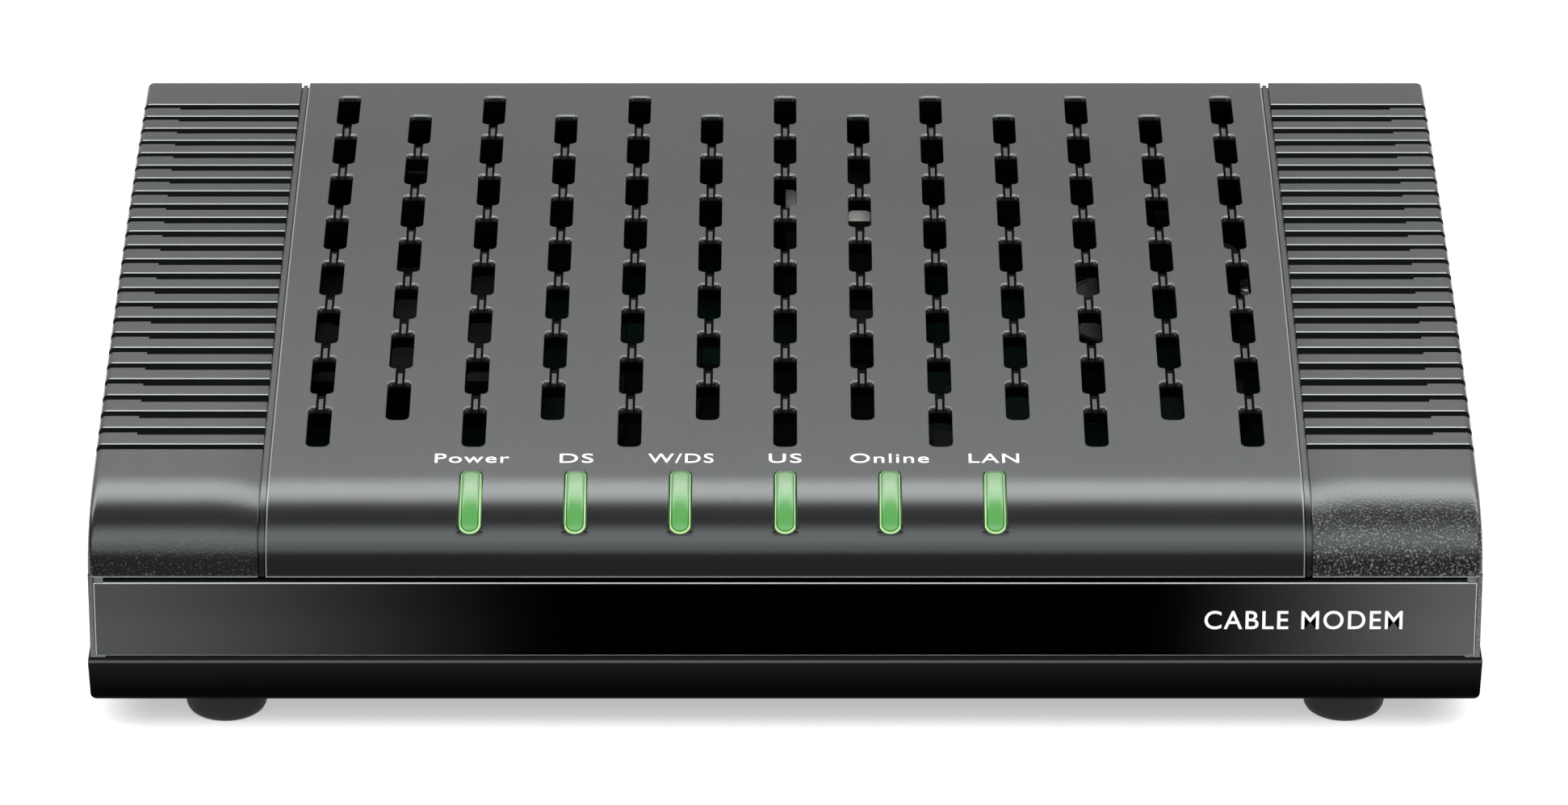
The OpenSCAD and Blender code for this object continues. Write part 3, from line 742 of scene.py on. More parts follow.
def dotted(graph, count, x, y, z=0.0):
    """Points whose places are Values of their index."""
    place = graph.out(graph.put("ShaderNodeCombineXYZ", None, {0: x, 1: y, 2: z}))
    return graph.out(graph.put("GeometryNodePoints", None, {"Count": count, "Position": place}))


def laid_out(name, mesh, finish_name, values, place):
    """Copies of one mesh, laid out by a tree: place(index, given) gives the count, x, y, z and a turn or None."""
    shape = bpy.data.objects.new(name + "_shape", mesh)

    def build(graph, given):
        count, x, y, z, turn = place(graph.out(graph.put("GeometryNodeInputIndex")), given)
        source = graph.put("GeometryNodeObjectInfo", {"transform_space": "RELATIVE"}, {"Object": shape})
        inputs = {"Points": dotted(graph, count, x, y, z), "Instance": graph.out(source, "Geometry")}
        if turn:
            inputs["Rotation"] = graph.out(graph.put("ShaderNodeCombineXYZ", None, dict(enumerate(turn))))
        laid = graph.put("GeometryNodeInstanceOnPoints", None, inputs)
        real = graph.put("GeometryNodeRealizeInstances", None, {0: graph.out(laid)})
        return graph.out(graph.put(
            "GeometryNodeSetMaterial", None, {"Geometry": graph.out(real), "Material": finish(finish_name)}))

    thing = grown(name, build, values)
    bpy.data.objects.remove(shape)
    return thing


def under_windows(index, given):
    """Layout of the pieces that stand under the indicator windows."""
    return given["Count"], (index - 3.0) * given["Pitch"], given["Y"], 0.0, None


def two_by_two(index, given):
    """Places of four like pieces, two in front and two behind."""
    side = (index % 2.0) * 2.0 - 1.0
    return side * given["Half span"], given["Front"] + (index / 2.0).floor() * given["Run"]


# ---------------------------------------------------------------- top cover

def rounded_loop(half_w, half_l, front_r, back_r, offset, steps=5):
    """Loop round a slot with rounded corners, grown by offset; corners differ at front and back."""
    loop = []
    for sx, sy, start in ((1, 1, 0), (-1, 1, 90), (-1, -1, 180), (1, -1, 270)):
        corner = back_r if sy > 0 else front_r
        for i in range(steps + 1):
            a = math.radians(start + 90 * i / steps)
            loop.append((sx * (half_w - corner) + (corner + offset) * math.cos(a),
                         sy * (half_l - corner) + (corner + offset) * math.sin(a)))
    kept = [loop[0]]
    for p in loop[1:]:
        if math.dist(p, kept[-1]) > 1e-4 and math.dist(p, loop[0]) > 1e-4:
            kept.append(p)
    return kept


def slot_distance(x, y, half_w, half_l, front_r, back_r):
    """Distance outside a slot with rounded corners; negative inside."""
    corner = np.where(y > 0, back_r, front_r)
    dx, dy = np.abs(x) - (half_w - corner), np.abs(y) - (half_l - corner)
    outside = np.hypot(np.maximum(dx, 0), np.maximum(dy, 0))
    return outside + np.minimum(np.maximum(dx, dy), 0) - corner


def outline(first_xs, last_xs, vs):
    """Outline of a region, from the stations of its first and last rows and from its rows."""
    middle = vs[1:-1]
    return ([(x, vs[0]) for x in first_xs] + [(first_xs[-1], v) for v in middle]
            + [(x, vs[-1]) for x in reversed(last_xs)] + [(first_xs[0], v) for v in reversed(middle)])


def triangulated(points, edges, height, drop=None):
    """Triangles over a convex outline: the height gives h at (x, v), drop says which are left out."""
    coords, _, faces, *_ = delaunay_2d_cdt([Vector(p) for p in points], edges, [], 0, 1e-5, False)
    flat = np.array([tuple(c) for c in coords])
    faces = np.array([list(f) for f in faces if len(f) == 3])
    if drop is not None:
        middle = flat[faces].mean(1)
        faces = faces[~drop(middle[:, 0], middle[:, 1])]
    return np.column_stack([flat, height(flat[:, 0], flat[:, 1])]), faces


class Plan:
    """Points and constraint edges of a flat region that is going to be triangulated."""

    def __init__(self):
        self.points = []
        self.edges = []

    def line(self, points, closed=False):
        base = len(self.points)
        self.points.extend((float(a), float(b)) for a, b in points)
        count = len(points)
        self.edges.extend((base + i, base + i + 1) for i in range(count - 1))
        if closed:
            self.edges.append((base + count - 1, base))


NECK_X = [0.0, 0.26, 0.30, 0.33, 0.50, 0.53, 0.59]
NECK_HALF_W = 0.6
NECK_FLOOR = -0.58
VENT_HALF_W = 1.37
VENT_HALF_L = 4.03
VENT_CORNER = 0.75
RIM_SIDE = 0.08


def cell_edge_xs():
    """X stations that every cell has along its front and back edges."""
    return sorted({s * x for x in [*NECK_X, 1.5, 2.7, PITCH_X / 2] for s in (-1, 1)})


def rim_loop(front_r, share, grow=0.0):
    """Loop round a slot at a share of its rounded edge, which is narrow beside the slot and full at its ends."""
    wide, long = RIM_SIDE * share, size("rim_radius") * share
    return rounded_loop(VENT_HALF_W + wide, VENT_HALF_L + long, front_r + wide, VENT_CORNER + wide, grow)


def rim_share(x, y, front_r):
    """How far out on the rounded edge a point lies: 0 at the slot's wall, 1 on the flat."""
    low, high = np.zeros_like(x), np.ones_like(x)
    for _ in range(24):
        share = (low + high) / 2
        wide, long = RIM_SIDE * share, size("rim_radius") * share
        out = slot_distance(x, y, VENT_HALF_W + wide, VENT_HALF_L + long, front_r + wide, VENT_CORNER + wide) > 0
        low, high = np.where(out, share, low), np.where(out, high, share)
    return (low + high) / 2


def vent_cell(front_neck, back_neck, front_r=VENT_CORNER):
    """One cell of the vented field round one slot: (points, faces) with the slot's walls."""
    rim = size("rim_radius")
    plan = Plan()
    half_v = PITCH_V / 2
    xs = cell_edge_xs()
    plan.line(outline(xs, xs, [-half_v + PITCH_V * i / 8 for i in range(9)]), True)
    for theta in (0, 45, 90):
        plan.line(rim_loop(front_r, 1 - math.cos(math.radians(theta))), True)
    plan.line(rim_loop(front_r, 1.0, 0.12), True)
    stations = sorted({s * x for x in NECK_X for s in (-1, 1)})
    for sign, neck in ((-1, front_neck), (1, back_neck)):
        if not neck:
            continue
        for x in stations:
            plan.line([(x, sign * VENT_HALF_L), (x, sign * half_v)])
        for v in ((-5.5, -5.1, -4.75) if sign < 0 else (4.95, 5.5)):
            plan.line([(-NECK_HALF_W, v), (NECK_HALF_W, v)])

    def height(x, y):
        gap = 1 - rim_share(x, y, front_r)
        round_h = -rim * (1 - np.sqrt(np.clip(1 - gap ** 2, 0, 1)))
        bar = -size("bar_drop")
        neck_h = np.interp(np.abs(x), NECK_X, [bar, bar, bar - 0.04, NECK_FLOOR, NECK_FLOOR, -0.06, 0.0])
        ramp = np.clip((y + 5.5) / 0.9, 0, 1) * (y < 0) * (np.abs(x) < 0.4) * 0.42
        open_here = ((y < 0) & front_neck) | ((y > 0) & back_neck)
        in_neck = open_here & (np.abs(y) > VENT_HALF_L - 1e-4) & (np.abs(x) < NECK_HALF_W + 1e-4)
        return np.where(in_neck, np.minimum(round_h, np.maximum(neck_h - ramp, -0.62)), round_h)

    def inside(x, y):
        return slot_distance(x, y, VENT_HALF_W, VENT_HALF_L, front_r, VENT_CORNER) < 0

    return triangulated(plan.points, plan.edges, height, inside)


def blank_cell():
    """A half cell without a slot."""
    plan = Plan()
    half_v = PITCH_V / 4
    xs = cell_edge_xs()
    plan.line(outline(xs, xs, [-half_v + PITCH_V * i / 8 for i in range(5)]), True)
    return triangulated(plan.points, plan.edges, lambda x, y: np.zeros_like(x))


def vent_field():
    """The vented field, unrolled: Geometry Nodes lay the cells out in staggered columns."""
    kinds = [vent_cell(False, True, 0.85), vent_cell(True, True), vent_cell(True, False), blank_cell()]
    library = bpy.data.collections.new("vent_cells")
    for i, (points, faces) in enumerate(kinds):
        mesh = bpy.data.meshes.new("cell_%d" % i)
        mesh.from_pydata(points.tolist(), [], faces.tolist())
        library.objects.link(bpy.data.objects.new("cell_%d" % i, mesh))

    def build(graph, given):
        index = graph.out(graph.put("GeometryNodeInputIndex"))
        column = (index / given["Rows"]).floor()
        row = index % given["Rows"]
        odd = column % 2.0
        x = (column - (given["Columns"] - 1.0) * 0.5) * given["Pitch X"]
        v = given["Front"] + given["Pitch V"] * (0.5 + row + odd * 0.5)
        points = dotted(graph, given["Columns"] * given["Rows"], x, v)
        last = given["Rows"] - 1.0 - odd
        wanted = row < last + 0.5
        kind = 1.0 - (row < 0.5) + (row > last - 0.5)
        cells = graph.put("GeometryNodeCollectionInfo", None, {
            "Collection": library, "Separate Children": True, "Reset Children": True})
        laid = graph.put("GeometryNodeInstanceOnPoints", None, {
            "Points": points, "Selection": wanted, "Instance": graph.out(cells), "Pick Instance": True,
            "Instance Index": kind})
        pair_column = (index / 2.0).floor() * 2.0 + 1.0
        pair_x = (pair_column - (given["Columns"] - 1.0) * 0.5) * given["Pitch X"]
        pair_v = given["Front"] + given["Pitch V"] * (0.25 + (index % 2.0) * (given["Rows"] - 0.5))
        ends = dotted(graph, given["Columns"] - 1.0, pair_x, pair_v)
        blanks = graph.put("GeometryNodeInstanceOnPoints", None, {
            "Points": ends, "Instance": graph.out(cells), "Pick Instance": True,
            "Instance Index": index * 0.0 + 3.0})
        both = graph.put("GeometryNodeJoinGeometry", None, {0: [graph.out(laid), graph.out(blanks)]})
        real = graph.put("GeometryNodeRealizeInstances", None, {0: graph.out(both)})
        merged = graph.put("GeometryNodeMergeByDistance", None, {"Geometry": graph.out(real), "Distance": 0.001})
        return graph.out(graph.put("GeometryNodeSetMaterial", None, {
            "Geometry": graph.out(merged), "Material": finish("cover_plastic")}))

    thing = grown("vent_field", build, {
        "Columns": COLS, "Rows": ROWS, "Pitch X": PITCH_X, "Pitch V": PITCH_V, "Front": FIELD_V0})
    mesh = thing.data
    points = np.zeros(len(mesh.vertices) * 3)
    mesh.vertices.foreach_get("co", points)
    faces = [tuple(p.vertices) for p in mesh.polygons]
    bpy.data.objects.remove(thing)
    for cell in list(library.objects):
        bpy.data.objects.remove(cell)
    bpy.data.collections.remove(library)
    return points.reshape(-1, 3), faces


def end_rows():
    """Offsets of the rows that round the lip and the back edge."""
    r = size("edge_round")
    return [0.0, r * 0.076, r * 0.293, r * 0.617, r]


def nose_rows():
    """V stations from the lip to the front of the vented field."""
    rows = [LIP_V + d for d in end_rows()]
    return rows + list(np.linspace(LIP_V + 0.45, NOSE_V, 72)) + [12.4, 13.5, 14.6, FIELD_V0]


def led_loop(grow):
    """Outline of an indicator window's hole, grown by a little."""
    return rounded_loop(LED_HALF_W, LED_HALF_L, LED_HALF_W - 0.01, 0.95, grow, 6)


def back_rows():
    """V stations from the back of the vented field to the back edge."""
    return [FIELD_V1, 113.2, 114.2] + [DEPTH - d for d in reversed(end_rows())]


def end_height(v):
    """Height of the rounding at the lip and at the back edge."""
    r = size("edge_round")
    gap = np.clip(np.minimum(v - LIP_V, DEPTH - v), 0, r)
    return -(r - np.sqrt(np.clip(r * r - (r - gap) ** 2, 0, None)))


def led_distance(x, v, grow=0.0):
    """Distance outside the nearest indicator window."""
    centre = np.array(LED_XS)[np.abs(np.asarray(x)[..., None] - np.array(LED_XS)).argmin(-1)]
    half_w, half_l = LED_HALF_W + grow, LED_HALF_L + grow
    return slot_distance(x - centre, v - LED_MID_V, half_w, half_l, half_w - 0.01, 0.95)


def band(rows, v0_xs, v1_xs, leds):
    """A full-width band of the cover between the cheeks, with the window holes if asked for."""
    plan = Plan()
    plan.line(outline(v0_xs, v1_xs, rows), True)
    for v in rows[1:-1]:
        plan.line([(-FIELD_X, v), (FIELD_X, v)])
    if leds:
        for x in LED_XS:
            for grow in (0.0, LED_CHAMFER):
                plan.line([(x + a, LED_MID_V + b) for a, b in led_loop(grow)], True)
            for side in (-1.75, 1.75):
                plan.line([(x + side, v) for v in rows[1:-1]])

    def height(x, v):
        chamfer = np.clip(led_distance(x, v), 0, LED_CHAMFER) - LED_CHAMFER if leds else 0.0
        return end_height(v) + chamfer

    return triangulated(plan.points, plan.edges, height, (lambda x, v: led_distance(x, v) < 0) if leds else None)


SEAM = [
    (61.15, 0.0), (61.38, 0.0), (61.46, -0.03), (61.50, -0.12), (61.52, -0.78), (61.66, -0.78), (61.70, -1.0),
    (62.24, -1.0), (62.28, -0.78), (62.42, -0.78), (62.45, -0.06), (62.52, 0.0),
]


def cheek_xs():
    """X stations of a cheek, from the seam to the outer face."""
    rounding = [HALF_W - EDGE_R * (1 - math.sin(math.radians(a))) for a in (0, 18, 36, 54, 72, 90)]
    return [x for x, _ in SEAM] + [70.0, STEP_X - 0.02, STEP_X + 0.02, INNER_X] + rounding


def groove_profile(k, outer):
    """V stations and heights of one cross groove."""
    back = GROOVE_FRONT + GROOVE_PITCH * k
    gap = 1.2 if outer or k == 0 else 1.7
    return (
        [back - gap - 0.12, back - gap - 0.03, back - gap, back - gap + 0.02, back - 0.02, back, back + 0.09,
         back + 0.16, back + 0.25],
        [0.0, 0.0, -0.03, -GROOVE_DEPTH, -GROOVE_DEPTH, -0.09, -0.01, 0.0, 0.0],
    )


def cheek_rows():
    """V stations of a cheek."""
    rows = nose_rows()
    for k in range(GROOVES):
        for outer in ((False, True) if k else (False,)):
            rows += groove_profile(k, outer)[0]
    rows += [109.5, *back_rows()]
    rows = sorted(rows)
    return [rows[0]] + [b for a, b in zip(rows, rows[1:]) if b - a > 1e-6]


def cheek_height(x, v):
    """Height of a cheek and its seam at |x|, v."""
    floor = -size("seam_depth")
    seam = np.interp(x, [s for s, _ in SEAM], [floor if h == -1.0 else h for _, h in SEAM])
    across = np.clip(HALF_W - x, 0, EDGE_R)
    side = -(EDGE_R - np.sqrt(np.clip(EDGE_R ** 2 - (EDGE_R - across) ** 2, 0, None)))
    groove = np.zeros_like(v)
    for outer in (False, True):
        stations, heights = [LIP_V], [0.0]
        for k in range(GROOVES):
            a, b = groove_profile(k, outer)
            stations += a
            heights += b
        here = (x > 62.44) & ((x > STEP_X) == outer)
        groove = np.where(here, np.interp(v, stations + [DEPTH], heights + [0.0]), groove)
    return np.minimum(np.minimum(seam, groove), side + end_height(v))


def zipped(left, right):
    """Triangles between two columns of (index, v), both sorted by v."""
    faces, i, j = [], 0, 0
    while i < len(left) - 1 or j < len(right) - 1:
        if j == len(right) - 1 or (i < len(left) - 1 and left[i + 1][1] <= right[j + 1][1]):
            faces.append((left[i][0], right[j][0], left[i + 1][0]))
            i += 1
        else:
            faces.append((left[i][0], right[j][0], right[j + 1][0]))
            j += 1
    return faces


def cover_sheet():
    """The cover's outer sheet, unrolled: (points, faces) in x, v, h."""
    points, faces = [], []

    def add(more, tris):
        base = len(points)
        points.extend(map(tuple, more))
        faces.extend(tuple(base + int(i) for i in f) for f in tris)
        return base

    edge_xs = sorted({round((c - (COLS - 1) / 2) * PITCH_X + x, 5) for c in range(COLS) for x in cell_edge_xs()})
    edge_xs = [edge_xs[0]] + [b for a, b in zip(edge_xs, edge_xs[1:]) if b - a > 1e-3]
    ends = [-FIELD_X, FIELD_X]
    edge_xs[0], edge_xs[-1] = ends
    add(*vent_field())
    add(*band(nose_rows(), ends, edge_xs, True))
    add(*band(back_rows(), edge_xs, ends, False))
    xs, vs = np.array(cheek_xs()), np.array(cheek_rows())
    grid_x, grid_v = np.meshgrid(xs, vs, indexing="ij")
    heights = cheek_height(grid_x.ravel(), grid_v.ravel())
    field_vs = sorted({*nose_rows(), *(FIELD_V0 + PITCH_V * i / 8 for i in range(8 * ROWS + 1)), *back_rows()})
    field_vs = [field_vs[0]] + [b for a, b in zip(field_vs, field_vs[1:]) if b - a > 1e-6]
    for sign in (-1, 1):
        rows = len(vs)
        grid = np.column_stack([sign * grid_x.ravel(), grid_v.ravel(), heights])
        quads = [(i * rows + j, (i + 1) * rows + j, (i + 1) * rows + j + 1, i * rows + j + 1)
                 for i in range(len(xs) - 1) for j in range(rows - 1)]
        base = add(grid, quads)
        side = add([(sign * FIELD_X, v, float(end_height(np.array(v)))) for v in field_vs], [])
        left = [(side + i, v) for i, v in enumerate(field_vs)]
        right = [(base + j, v) for j, v in enumerate(vs)]
        faces.extend(zipped(left, right))
    return points, faces


def cover_shell():
    """The closed cover: outer sheet, slot walls, inner sheet, side walls and their feet."""
    points, faces = cover_sheet()
    mesh = bpy.data.meshes.new("sheet")
    mesh.from_pydata(points, [], faces)
    bm = bmesh.new()
    bm.from_mesh(mesh)
    bmesh.ops.remove_doubles(bm, verts=bm.verts, dist=0.004)
    bm.verts.index_update()
    flat = np.array([tuple(v.co) for v in bm.verts])
    faces = [tuple(v.index for v in f.verts) for f in bm.faces]
    rims = [(e.verts[0].index, e.verts[1].index) for e in bm.edges if e.is_boundary]
    bm.free()
    bpy.data.meshes.remove(mesh)
    count = len(flat)
    across = np.abs(flat[:, 0])
    inner = flat.copy()
    inner[:, 2] = -WALL
    solid = np.concatenate([bent(flat), bent(inner)])
    below = bent(flat - np.array([0.0, 0.0, 0.12]))
    used = [f for f in faces if all(across[i] < INNER_X + 1e-3 for i in f)]
    made = faces + [tuple(count + i for i in reversed(f)) for f in used]
    made += [(a, b, count + b, count + a) for a, b in rims if max(across[a], across[b]) < INNER_X + 1e-3]
    feet = []
    for sign in (-1, 1):
        outer = [i for i in range(count) if across[i] > HALF_W - 1e-3 and flat[i, 0] * sign > 0]
        wall = [i for i in range(count) if abs(across[i] - INNER_X) < 1e-3 and flat[i, 0] * sign > 0]
        outer.sort(key=lambda i: flat[i, 1])
        wall.sort(key=lambda i: flat[i, 1])
        base = 2 * count + len(feet)
        toe = np.array([sign * HALF_W, FRONT_Y + 0.3, SEAT_Z])
        below[outer[0]] = solid[outer[0]] + (toe - solid[outer[0]]) * 0.012
        for i in outer:
            y = FRONT_Y + 0.3 + (flat[i, 1] - LIP_V) * (DEPTH - 0.3) / (DEPTH - LIP_V)
            feet += [(sign * HALF_W, y, SEAT_Z), (sign * INNER_X, y, SEAT_Z), tuple(below[i])]
        for n in range(len(outer) - 1):
            a, b = base + 3 * n, base + 3 * n + 3
            made += [(outer[n], outer[n + 1], b + 2, a + 2), (a + 2, b + 2, b, a), (a, b, b + 1, a + 1),
                     (count + wall[n], count + wall[n + 1], b + 1, a + 1)]
        for v, n in ((LIP_V, 0), (DEPTH, len(outer) - 1)):
            rim = [i for i in range(count) if abs(flat[i, 1] - v) < 1e-3 and flat[i, 0] * sign > 0
                   and across[i] > INNER_X - 1e-3]
            rim.sort(key=lambda i: across[i])
            made.append((*rim, base + 3 * n + 2, base + 3 * n, base + 3 * n + 1, count + wall[n]))
    solid = np.concatenate([solid, np.array(feet)])
    rise = np.clip((solid[:, 2] - LIP_Z) / (CREST_RISE + 1), 0, 1)
    solid[:, 0] -= np.sign(solid[:, 0]) * rise * 0.15 * (np.abs(solid[:, 0]) > 70)
    keep = sorted({i for f in made for i in f})
    index = {old: new for new, old in enumerate(keep)}
    return solid[keep], [tuple(index[i] for i in f) for f in made]


def paint_shade_and_highlights(cover):
    """Gives the slots and the lines beside each neck a near-black painted shade, and the ribs' front edges a painted
    highlight.
    """
    mesh = cover.data
    mesh.materials.append(finish("cover_recess"))
    centres = np.zeros(len(mesh.polygons) * 3)
    mesh.polygons.foreach_get("center", centres)
    x, y, z = centres.reshape(-1, 3).T / MM
    v = y - FRONT_Y
    depth = np.array([LIP_Z + crown(a) for a in v]) - z
    column = np.clip(np.round(x / PITCH_X), -(COLS // 2), COLS // 2) * PITCH_X
    normals = np.zeros(len(mesh.polygons) * 3)
    mesh.polygons.foreach_get("normal", normals)
    facing = normals.reshape(-1, 3)
    rim = (depth < size("rim_radius")) & (facing[:, 2] > 0.12) & (facing[:, 1] < -0.3)
    inside = (v > FIELD_V0) & (v < FIELD_V1) & (np.abs(x - column) < VENT_HALF_W + 0.2) & (np.abs(x) < FIELD_X)
    # Painted shade: the slot walls and the channels beside each neck go near black; the lit back rims keep the cover
    # plastic.
    painted_shade_faces = inside & (depth > 0.24) & (depth < WALL - 0.05) & ~rim
    # Painted highlight: the ribs' front edges get the light, faintly glowing finish.
    edge = (np.abs(x) > 60) & (np.abs(x) < HALF_W - 0.3) & (v > 12) & (v < DEPTH - 1) & (depth < 0.15)
    edge = edge & (facing[:, 1] < -0.5) & (facing[:, 2] > 0.4) & ~painted_shade_faces
    mesh.materials.append(finish("fascia_edge"))
    mesh.polygons.foreach_set("material_index", painted_shade_faces.astype(np.int32) + 2 * edge.astype(np.int32))


class MODEM_OT_cover(bpy.types.Operator):
    """Top cover: the bent shell, the strips beside the fascia and the screw bosses inside."""

    bl_idname = "modem.cover"
    bl_label = "Top cover"

    def execute(self, context):
        skin = Skin().add(*cover_shell())
        for s in (-1, 1):
            low, high = (HALF_W - 0.55, HALF_W - 0.02) if s > 0 else (0.02 - HALF_W, 0.55 - HALF_W)
            skin.block((low, FRONT_Y + 0.32, SEAT_Z), (high, FRONT_Y + 2.4, LIP_Z + 0.3))
            for u in (22, 96):
                top = LIP_Z + crown(u) - WALL * 0.7
                boss = [(0, top - 3), (1.4, top - 3), (1.4, 10.0), (1.4, 10.0), (3.2, 10.0), (3.4, 10.2),
                        (3.4, top - 0.4), (3.4, top), (0, top)]
                skin.lathe(boss, (s * 72, FRONT_Y + u, 0), steps=40)
        cover = new_object("cover_moulding", skin.mesh("cover_moulding", 0.0008), finish("cover_plastic"))
        smooth(cover, 42)
        paint_shade_and_highlights(cover)
        placed(cover, "case", ["top_cover"])
        return {"FINISHED"}


def slab(points, faces, bottom):
    """Closed solid in the unrolled cover between a sheet and a level below it."""
    count = len(points)
    low = points.copy()
    low[:, 2] = bottom
    edges = {}
    for f in faces:
        for a, b in zip(f, (*f[1:], f[0])):
            key = (min(a, b), max(a, b))
            edges[key] = edges.get(key, 0) + 1
    rims = [key for key, n in edges.items() if n == 1]
    made = [tuple(f) for f in faces] + [tuple(count + i for i in reversed(f)) for f in faces]
    made += [(a, b, count + b, count + a) for a, b in rims]
    return np.concatenate([points, low]), made


class MODEM_OT_windows(bpy.types.Operator):
    """Light pipe: six domed windows with a raised rim, their posts and the bar that joins them."""

    bl_idname = "modem.windows"
    bl_label = "Indicator windows"

    def execute(self, context):
        steps = [0.0, 0.06, 0.14, 0.24, 0.30, 0.38, 0.60, 0.95, 1.19]
        heights = [-0.03, 0.06, 0.10, 0.08, 0.00, 0.05, 0.075, 0.09, 0.095]
        solid, made, marks, rises = [], [], [], []
        half_w, half_l = LED_HALF_W - 0.12, LED_HALF_L - 0.05
        for x in LED_XS:
            plan = Plan()
            for d in steps[:-1]:
                plan.line(rounded_loop(half_w - d, half_l - d, half_w - d - 0.01, max(0.95 - d, 0.12), 0.0, 6), True)
            for v in np.linspace(-half_l, half_l, 25)[1:-1]:
                plan.line([(-half_w, v), (half_w, v)])
            plan.line([(0, -half_l + 1.2), (0, half_l - 1.2)])

            def depth_in(px, pv):
                return -slot_distance(px, pv, half_w, half_l, half_w - 0.01, 0.95)

            points, faces = triangulated(
                plan.points, plan.edges, lambda px, pv: np.interp(depth_in(px, pv), steps, heights),
                lambda px, pv: depth_in(px, pv) < 1e-4)
            mark = depth_in(points[:, 0], points[:, 1])
            rise = (points[:, 1] + half_l) / (2 * half_l)
            points[:, 0] += x
            points[:, 1] += LED_MID_V
            body, quads = slab(points, [tuple(int(i) for i in f) for f in faces], -2.3)
            base = len(solid)
            solid += [tuple(p) for p in bent(body)]
            made += [tuple(base + i for i in f) for f in quads]
            marks += [*mark, *mark]
            rises += [*rise, *rise]
        mesh = bpy.data.meshes.new("windows")
        mesh.from_pydata([tuple(c * MM for c in p) for p in solid], [], made)
        for name, values in (("rim", marks), ("rise", rises)):
            layer = mesh.attributes.new(name, "FLOAT", "POINT")
            layer.data.foreach_set("value", np.array(values, np.float32))
        bm = bmesh.new()
        bm.from_mesh(mesh)
        loose = [v for v in bm.verts if not v.link_faces]
        bmesh.ops.delete(bm, geom=loose, context="VERTS")
        bmesh.ops.recalc_face_normals(bm, faces=bm.faces)
        bm.to_mesh(mesh)
        bm.free()
        windows = new_object("indicator_windows", mesh, finish("lens_green"))
        smooth(windows, 30)
        placed(windows, "case", ["light_pipe"])
        y = FRONT_Y + 8.6
        skin = Skin().block((LED_XS[0] - 1, y - 1.2, 21.5), (LED_XS[-1] + 1, y + 1.2, 23.5))
        posts = new_object("light_pipe_bar", skin.mesh("light_pipe_bar"), finish("pipe_green"))
        softened(posts, 0.2)
        post = Skin().block((-1, -1.2, box_mm("light_pipe")[0][2]), (1, 1.2, 25.4)).mesh("post")
        stems = laid_out("light_pipe_posts", post, "pipe_green", {
            "Count": LED_COUNT, "Pitch": LED_PITCH * MM, "Y": y * MM}, under_windows)
        softened(stems, 0.15)
        for thing in (posts, stems):
            smooth(thing)
            placed(thing, "case")
        return {"FINISHED"}


def text_mesh(words, height, width=None, bold=0.0):
    """Flat letters as a mesh in the XY plane, centred, with that cap height and width in millimetres."""
    curve = bpy.data.curves.new("letters", "FONT")
    curve.body = words
    curve.align_x = "CENTER"
    curve.size = height / 0.73
    curve.offset = bold
    curve.space_character = 1.12
    curve.extrude = 0.012
    curve.resolution_u = 5
    thing = bpy.data.objects.new("letters", curve)
    bpy.context.scene.collection.objects.link(thing)
    bpy.context.view_layer.update()
    graph = bpy.context.evaluated_depsgraph_get()
    mesh = bpy.data.meshes.new_from_object(thing.evaluated_get(graph), depsgraph=graph)
    bpy.data.objects.remove(thing)
    points = np.zeros(len(mesh.vertices) * 3)
    mesh.vertices.foreach_get("co", points)
    points = points.reshape(-1, 3)
    spread = points[:, 0].max() - points[:, 0].min()
    points[:, 0] -= (points[:, 0].max() + points[:, 0].min()) / 2
    if width:
        points[:, 0] *= width / spread
    faces = [tuple(p.vertices) for p in mesh.polygons]
    bpy.data.meshes.remove(mesh)
    return points, faces


class MODEM_OT_legends(bpy.types.Operator):
    """White legends behind the windows, printed on the cover."""

    bl_idname = "modem.legends"
    bl_label = "Legends"

    def execute(self, context):
        skin = Skin()
        words = [("Power", 8.9), ("DS", 4.0), ("W/DS", 7.8), ("US", 3.9), ("Online", 9.4), ("LAN", 6.0)]
        for x, (word, width) in zip(LED_XS, words):
            points, faces = text_mesh(word, size("legend_height"), width, 0.012)
            flat = np.column_stack([points[:, 0] + x, points[:, 1] + 13.75, points[:, 2] + 0.012])
            skin.add(bent(flat), faces)
        legends = new_object("cover_legends", skin.mesh("cover_legends", 0.0002), finish("legend_ink"))
        placed(legends, "case")
        return {"FINISHED"}


# ---------------------------------------------------------------- case pieces

class MODEM_OT_fascia(bpy.types.Operator):
    """Gloss strip with a painted highlight on its fine bevel all round, and its legend."""

    bl_idname = "modem.fascia"
    bl_label = "Fascia"

    def execute(self, context):
        low, high = (FASCIA_LOW[0], FASCIA_LOW[1] - 0.2, FASCIA_LOW[2]), FASCIA_HIGH
        skin = Skin().block(low, high)
        strip = new_object("fascia_strip", skin.mesh("fascia_strip"), finish("fascia_gloss"), finish("fascia_edge"))
        # The bevel all round carries the painted highlight.
        modifier = strip.modifiers.new("edges", "BEVEL")
        modifier.width = 0.11 * MM
        modifier.segments = 1
        modifier.material = 1
        baked(strip)
        placed(strip, "case", ["gloss_fascia"])
        points, faces = text_mesh("CABLE MODEM", 2.5, 23.5, 0.03)
        middle = (low[2] + high[2]) / 2 - 1.25
        letters = np.column_stack([
            points[:, 0] + 61.5, np.full(len(points), low[1]) - 0.012 - points[:, 2], points[:, 1] + middle])
        skin = Skin().add(letters, faces)
        legend = new_object("fascia_legend", skin.mesh("fascia_legend", 0.0002), finish("legend_ink"))
        placed(legend, "case")
        from_node("front_bezel", "bezel_plastic", 0.12)
        return {"FINISHED"}


